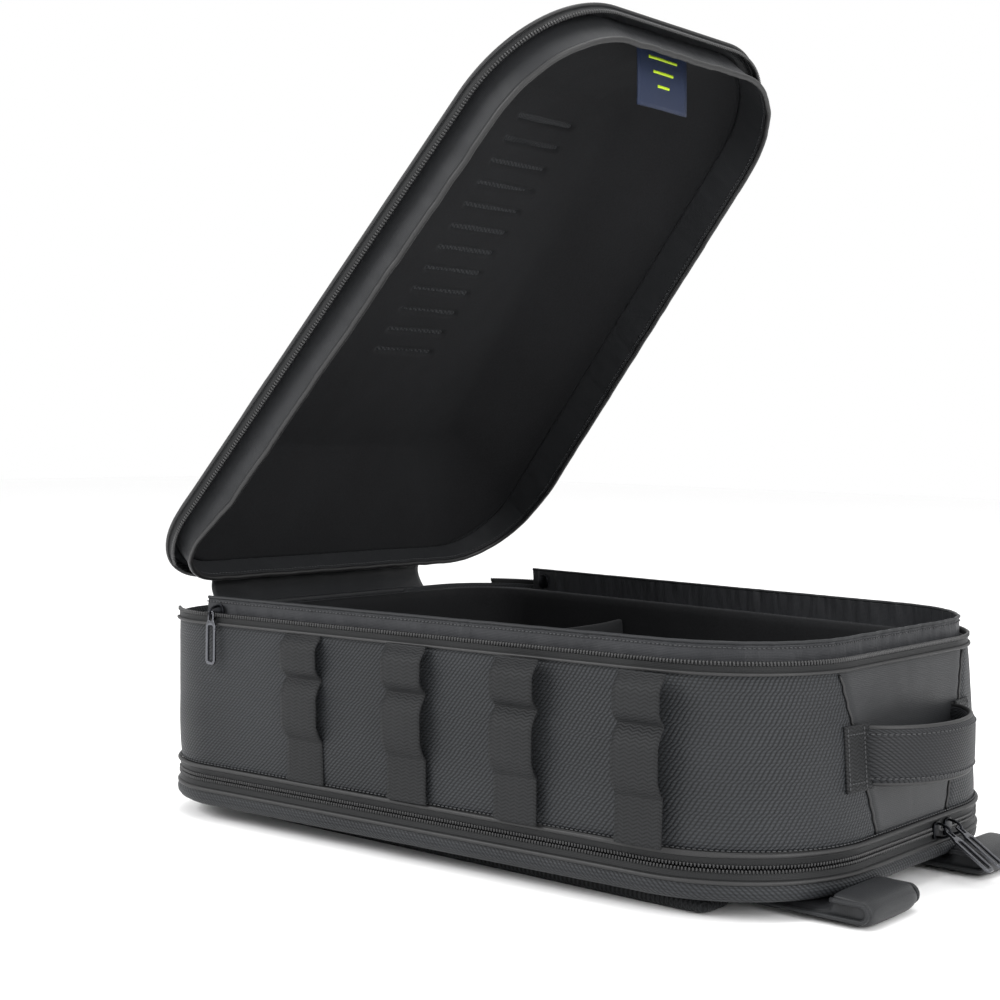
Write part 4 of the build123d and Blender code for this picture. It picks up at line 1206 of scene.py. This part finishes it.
start = Vector((-246.4, 0.0, 138.0))
bend = Vector((HINGE_X - 3.2, 0.0, HINGE_Z))
end = lid_point(-246.0, 155.5)
profile = []
for k in range(13):
    share = k / 12
    a, b = start.lerp(bend, share), bend.lerp(end, share)
    profile.append(a.lerp(b, share) + (bend - (start + end) / 2) * 0.45 * share * (1 - share))
hinge_rows = []
for k in range(61):
    y = -112.0 + 224.0 * k / 60
    row = []
    for j, p in enumerate(profile):
        fold = ripple((y, j * 3.0, 0.0), 18.0, 0.9, 81.0) * math.sin(math.pi * j / 12)
        row.append(Vector((p.x - fold, y, p.z)))
    hinge_rows.append(row)
fabric_hinge("lid_hinge_cloth", hinge_rows, 1.3, "lid", start, end, "hinge_strip_body", "hinge_strip_lid")

panel_rows = []
for k in range(61):
    y = -113.0 + 226.0 * k / 60
    row = []
    for j in range(9):
        share = j / 8
        bulge = math.sin(math.pi * share) * (1.6 + ripple((y, share * 9, 5.0), 20.0, 0.7, 83.0))
        row.append(Vector((-253.2 - bulge, y, 37.8 - 14.6 * share)))
    panel_rows.append(row)
start, end = Vector((-253.0, 0, 37.5)), Vector((-253.0, 0, 23.5))
panel_nodes = ("panel_strip_body", "panel_strip")
fabric_hinge("panel_hinge_cloth", panel_rows, 1.2, "back_panel", start, end, *panel_nodes)

# ================= sliders and pulls =================
def filled_outline(name, outer, holes, thickness, bevel, material):
    """A flat plate from closed outlines in millimetres, with rounded edges."""
    curve = bpy.data.curves.new(name, "CURVE")
    curve.dimensions = "2D"
    curve.fill_mode = "BOTH"
    curve.extrude = (thickness / 2 - bevel) * MM
    curve.bevel_depth = bevel * MM
    curve.bevel_resolution = 2
    curve.offset = -bevel * MM
    for points in [outer] + holes:
        spline = curve.splines.new("POLY")
        spline.points.add(len(points) - 1)
        for item, (x, y) in zip(spline.points, points):
            item.co = (x * MM, y * MM, 0.0, 1.0)
        spline.use_cyclic_u = True
    drawn = bpy.data.objects.new(name, curve)
    bpy.context.scene.collection.objects.link(drawn)
    graph = bpy.context.evaluated_depsgraph_get()
    mesh = bpy.data.meshes.new_from_object(drawn.evaluated_get(graph))
    bpy.data.objects.remove(drawn)
    mesh.materials.clear()
    mesh.materials.append(material)
    piece = bpy.data.objects.new(name, mesh)
    bpy.context.scene.collection.objects.link(piece)
    settle(piece, ("WELD", {"merge_threshold": 1e-6}))
    piece.data.shade_smooth()
    return piece


def rounded(half_width, top, foot, radius, steps=7):
    """A round-cornered rectangle as outline points."""
    points = []
    high, low, reach = top - radius, foot + radius, half_width - radius
    for x, y, start in ((reach, high, 0.0), (-reach, high, 0.5), (-reach, low, 1.0), (reach, low, 1.5)):
        for k in range(steps + 1):
            turn = math.pi * (start + 0.5 * k / steps)
            points.append((x + math.cos(turn) * radius, y + math.sin(turn) * radius))
    return points


def shoulders(half_width, neck, top, foot):
    """The pull's outline: a narrow neck at the slider that widens to a long oblong."""
    right = [(neck, top - 1.0), (neck, top - 6.0), (half_width, top - 10.0), (half_width, foot + 2.6)]
    right += [(half_width - 0.8, foot + 0.9), (half_width - 2.4, foot)]
    crest = [(-neck + 1.0, top), (neck - 1.0, top)]
    return crest + right + [(-x, y) for x, y in right[::-1]]


def set_piece(piece, origin, x_axis, y_axis, z_axis):
    """Put a piece drawn flat at the origin into a frame of three directions."""
    turn = Matrix((x_axis, y_axis, z_axis)).transposed().to_4x4()
    piece.data.transform(Matrix.Translation(Vector(origin) * MM) @ turn)
    return piece


PIVOT_OUT = 8.7
TAPE_INSET = 0.3
RIM_SLIDER_X = -172.0
rim_y = wall_half_width(RIM_SLIDER_X, RIM_Z) - TAPE_INSET / math.cos(LEAN)
slider_spots = []
for side_name, side in SIDES:
    out = Vector((math.sin(LEAN), side * math.cos(LEAN), 0.0))
    origin = Vector((RIM_SLIDER_X, side * rim_y, 146.0))
    slider_spots.append((f"rim_slider_{side_name}", f"rim_pull_{side_name}", origin, out, 0.0))
for side_name, y in (("near", 28.0), ("far", 43.0)):
    origin = Vector((252.7, y, LOWER_ZIP))
    names = (f"lower_slider_{side_name}", f"lower_pull_{side_name}")
    slider_spots.append((*names, origin, Vector((1, 0, 0)), 56.0))

SHIELD_HALF = [(4.6, 0.0), (4.2, 3.4), (2.6, 5.6), (-1.0, 5.7), (-4.4, 4.6), (-4.9, 2.2)]
SHIELD = SHIELD_HALF + [(x, -y) for x, y in SHIELD_HALF[::-1][:-1]]
for slider_node, pull_node, origin, out, tilt in slider_spots:
    up = Vector((0, 0, 1))
    along = up.cross(out).normalized()
    for name, outline, thickness, bevel, raised, nodes in (
        ("crown", SHIELD, 1.8, 0.5, 1.3, (slider_node,)),
        ("wings", SHIELD, 1.5, 0.4, -3.3, ()),
        ("diamond", rounded(2.6, 0.45, -0.45, 0.3), 5.2, 0.1, -1.0, ()),
    ):
        plate = filled_outline(f"{slider_node}_{name}", outline, [], thickness, bevel, DARK_GUNMETAL)
        set_piece(plate, origin + out * raised, along, up, out)
        place(plate, slider_node, "slider_metal", *nodes)
    bridge_line = []
    for k in range(15):
        share = k / 14
        height = 1.9 + (PIVOT_OUT - 0.1) * math.sin(math.pi * share) ** 0.42
        bridge_line.append(origin + up * (-4.4 + 8.8 * share) + out * height)
    bridge = tube(f"{slider_node}_bridge", bridge_line, 0.85, DARK_GUNMETAL, sides=8)
    place(bridge, slider_node, "slider_metal")
    # the pull: a dark frame round a bright double slot
    frame_plate = filled_outline(
        f"{pull_node}_frame",
        shoulders(4.4, 2.6, 1.6, -34.8),
        [rounded(1.5, 0.7, -5.0, 1.0), rounded(2.5, -8.2, -32.6, 1.2)],
        1.7,
        0.5,
        GUNMETAL,
    )
    inner_rail = filled_outline(
        f"{pull_node}_rail",
        rounded(2.65, -8.0, -32.8, 1.3),
        [rounded(1.75, -9.0, -31.8, 0.9)],
        1.1,
        0.3,
        DARK_GUNMETAL,
    )
    pin_line = [Vector((-2.5, 0.0, 0.0)), Vector((2.5, 0.0, 0.0))]
    pin = tube(f"{pull_node}_pin", pin_line, 0.75, GUNMETAL, sides=10)
    pivot = origin + out * PIVOT_OUT
    tipped = math.radians(tilt)
    hang = (up * math.cos(tipped) - out * math.sin(tipped)).normalized()
    face = (out * math.cos(tipped) + up * math.sin(tipped)).normalized()
    for part, nodes in ((frame_plate, (pull_node,)), (inner_rail, ()), (pin, ())):
        set_piece(part, pivot, along, hang, face)
        place(part, pull_node, "pull_metal", *nodes)

# ================= label =================
LABEL_SPOT = lid_point(245.0 - 12.5, 155.0)
LABEL_TOP = LABEL_SPOT.z + 2.0
LABEL_DROP = 47.0
LABEL_WIDTH = 58.0
LABEL_START = -30.0
MARK_BARS = ((34.0, 14.0), (24.0, 23.0), (14.0, 32.0))  # length, depth under the label's top edge


def label_point(y, z):
    """A place on the curled face of the label's cloth."""
    curl = 1.4 * math.sin(1.7 * (LABEL_TOP - z) / LABEL_DROP)
    sway = 0.6 * math.sin((y - LABEL_START) / LABEL_WIDTH * 16 / 3.0)
    return Vector((LABEL_SPOT.x + curl + sway, y, z))


label_rows = []
for k in range(17):
    z = LABEL_TOP - LABEL_DROP * k / 16
    label_rows.append([label_point(LABEL_START + LABEL_WIDTH * j / 16, z) for j in range(17)])
LABEL_CLOTH = plain_cloth("woven_label_navy", 0.5, "#0d1424", "#1c2740", rough=0.5)
LIME_THREAD = plain_cloth("woven_label_lime", 0.5, "#7f9c10", "#b8d426", rough=0.5)
label = cloth_grid("woven_label", label_rows, LABEL_CLOTH, 0.7)
place(label, "lid", "label_cloth", "lid_label")
for number, (bar_length, bar_depth) in enumerate(MARK_BARS):
    z = LABEL_TOP - bar_depth
    across = [-1.0 + bar_length * (k / 24 - 0.5) for k in range(25)]
    line = [label_point(y, z) + Vector((0.1, 0, 0)) for y in across]
    mark = tube(f"label_bar_{number + 1}", line, 1.2, LIME_THREAD, sides=8)
    place(mark, "lid", "label_cloth")

# ================= studio, camera =================
CAMERA_AZIMUTH = math.radians(39.55)
CAMERA_PITCH = math.radians(2.43)
CAMERA_ROLL = math.radians(0.9)
camera_data = bpy.data.cameras.new("camera")
camera_data.sensor_width = 36.0
camera_data.lens = 63.3
camera_data.clip_end = 50.0
camera = bpy.data.objects.new("camera", camera_data)
bpy.context.scene.collection.objects.link(camera)
camera.location = (0.7274, -0.9724, 0.2752)
aim = Matrix.Rotation(CAMERA_AZIMUTH, 4, "Z") @ Matrix.Rotation(math.pi / 2 - CAMERA_PITCH, 4, "X")
camera.matrix_world = Matrix.Translation(camera.location) @ aim @ Matrix.Rotation(CAMERA_ROLL, 4, "Z")
bpy.context.scene.camera = camera

floor_mesh = bpy.data.meshes.new("floor")
FLOOR_HALF = 6.0
floor_corners = [(x * FLOOR_HALF, y * FLOOR_HALF, 0) for x, y in ((-1, -1), (1, -1), (1, 1), (-1, 1))]
floor_mesh.from_pydata(floor_corners, [], [(0, 1, 2, 3)])
floor = bpy.data.objects.new("floor", floor_mesh)
bpy.context.scene.collection.objects.link(floor)
floor_paint, _, floor_bsdf = new_material("matt_white_paper")
floor_bsdf.inputs["Base Color"].default_value = linear("#fbfbfb")
floor_bsdf.inputs["Roughness"].default_value = 0.9
floor_mesh.materials.append(floor_paint)

world = bpy.data.worlds.new("studio")
bpy.context.scene.world = world
world.use_nodes = True
world.node_tree.nodes["Background"].inputs[0].default_value = linear("#ffffff")
world.node_tree.nodes["Background"].inputs[1].default_value = 1.0


def softbox(name, location, target, size, power):
    light = bpy.data.lights.new(name, "AREA")
    light.shape = "RECTANGLE"
    light.size, light.size_y = size
    light.energy = power
    lamp = bpy.data.objects.new(name, light)
    bpy.context.scene.collection.objects.link(lamp)
    lamp.location = location
    aim_to = (Vector(target) - Vector(location)).to_track_quat("-Z", "Y")
    lamp.rotation_euler = aim_to.to_euler()
    return lamp


softbox("key_left", (-0.9, -1.9, 1.5), (0, 0, 0.15), (1.4, 1.0), 42.0)
softbox("fill_right", (2.1, -0.6, 1.0), (0.2, 0, 0.15), (1.2, 1.2), 30.0)
softbox("top", (0.1, 0.2, 2.3), (0, 0, 0.1), (1.8, 1.4), 30.0)
bpy.context.scene.view_settings.view_transform = "Standard"
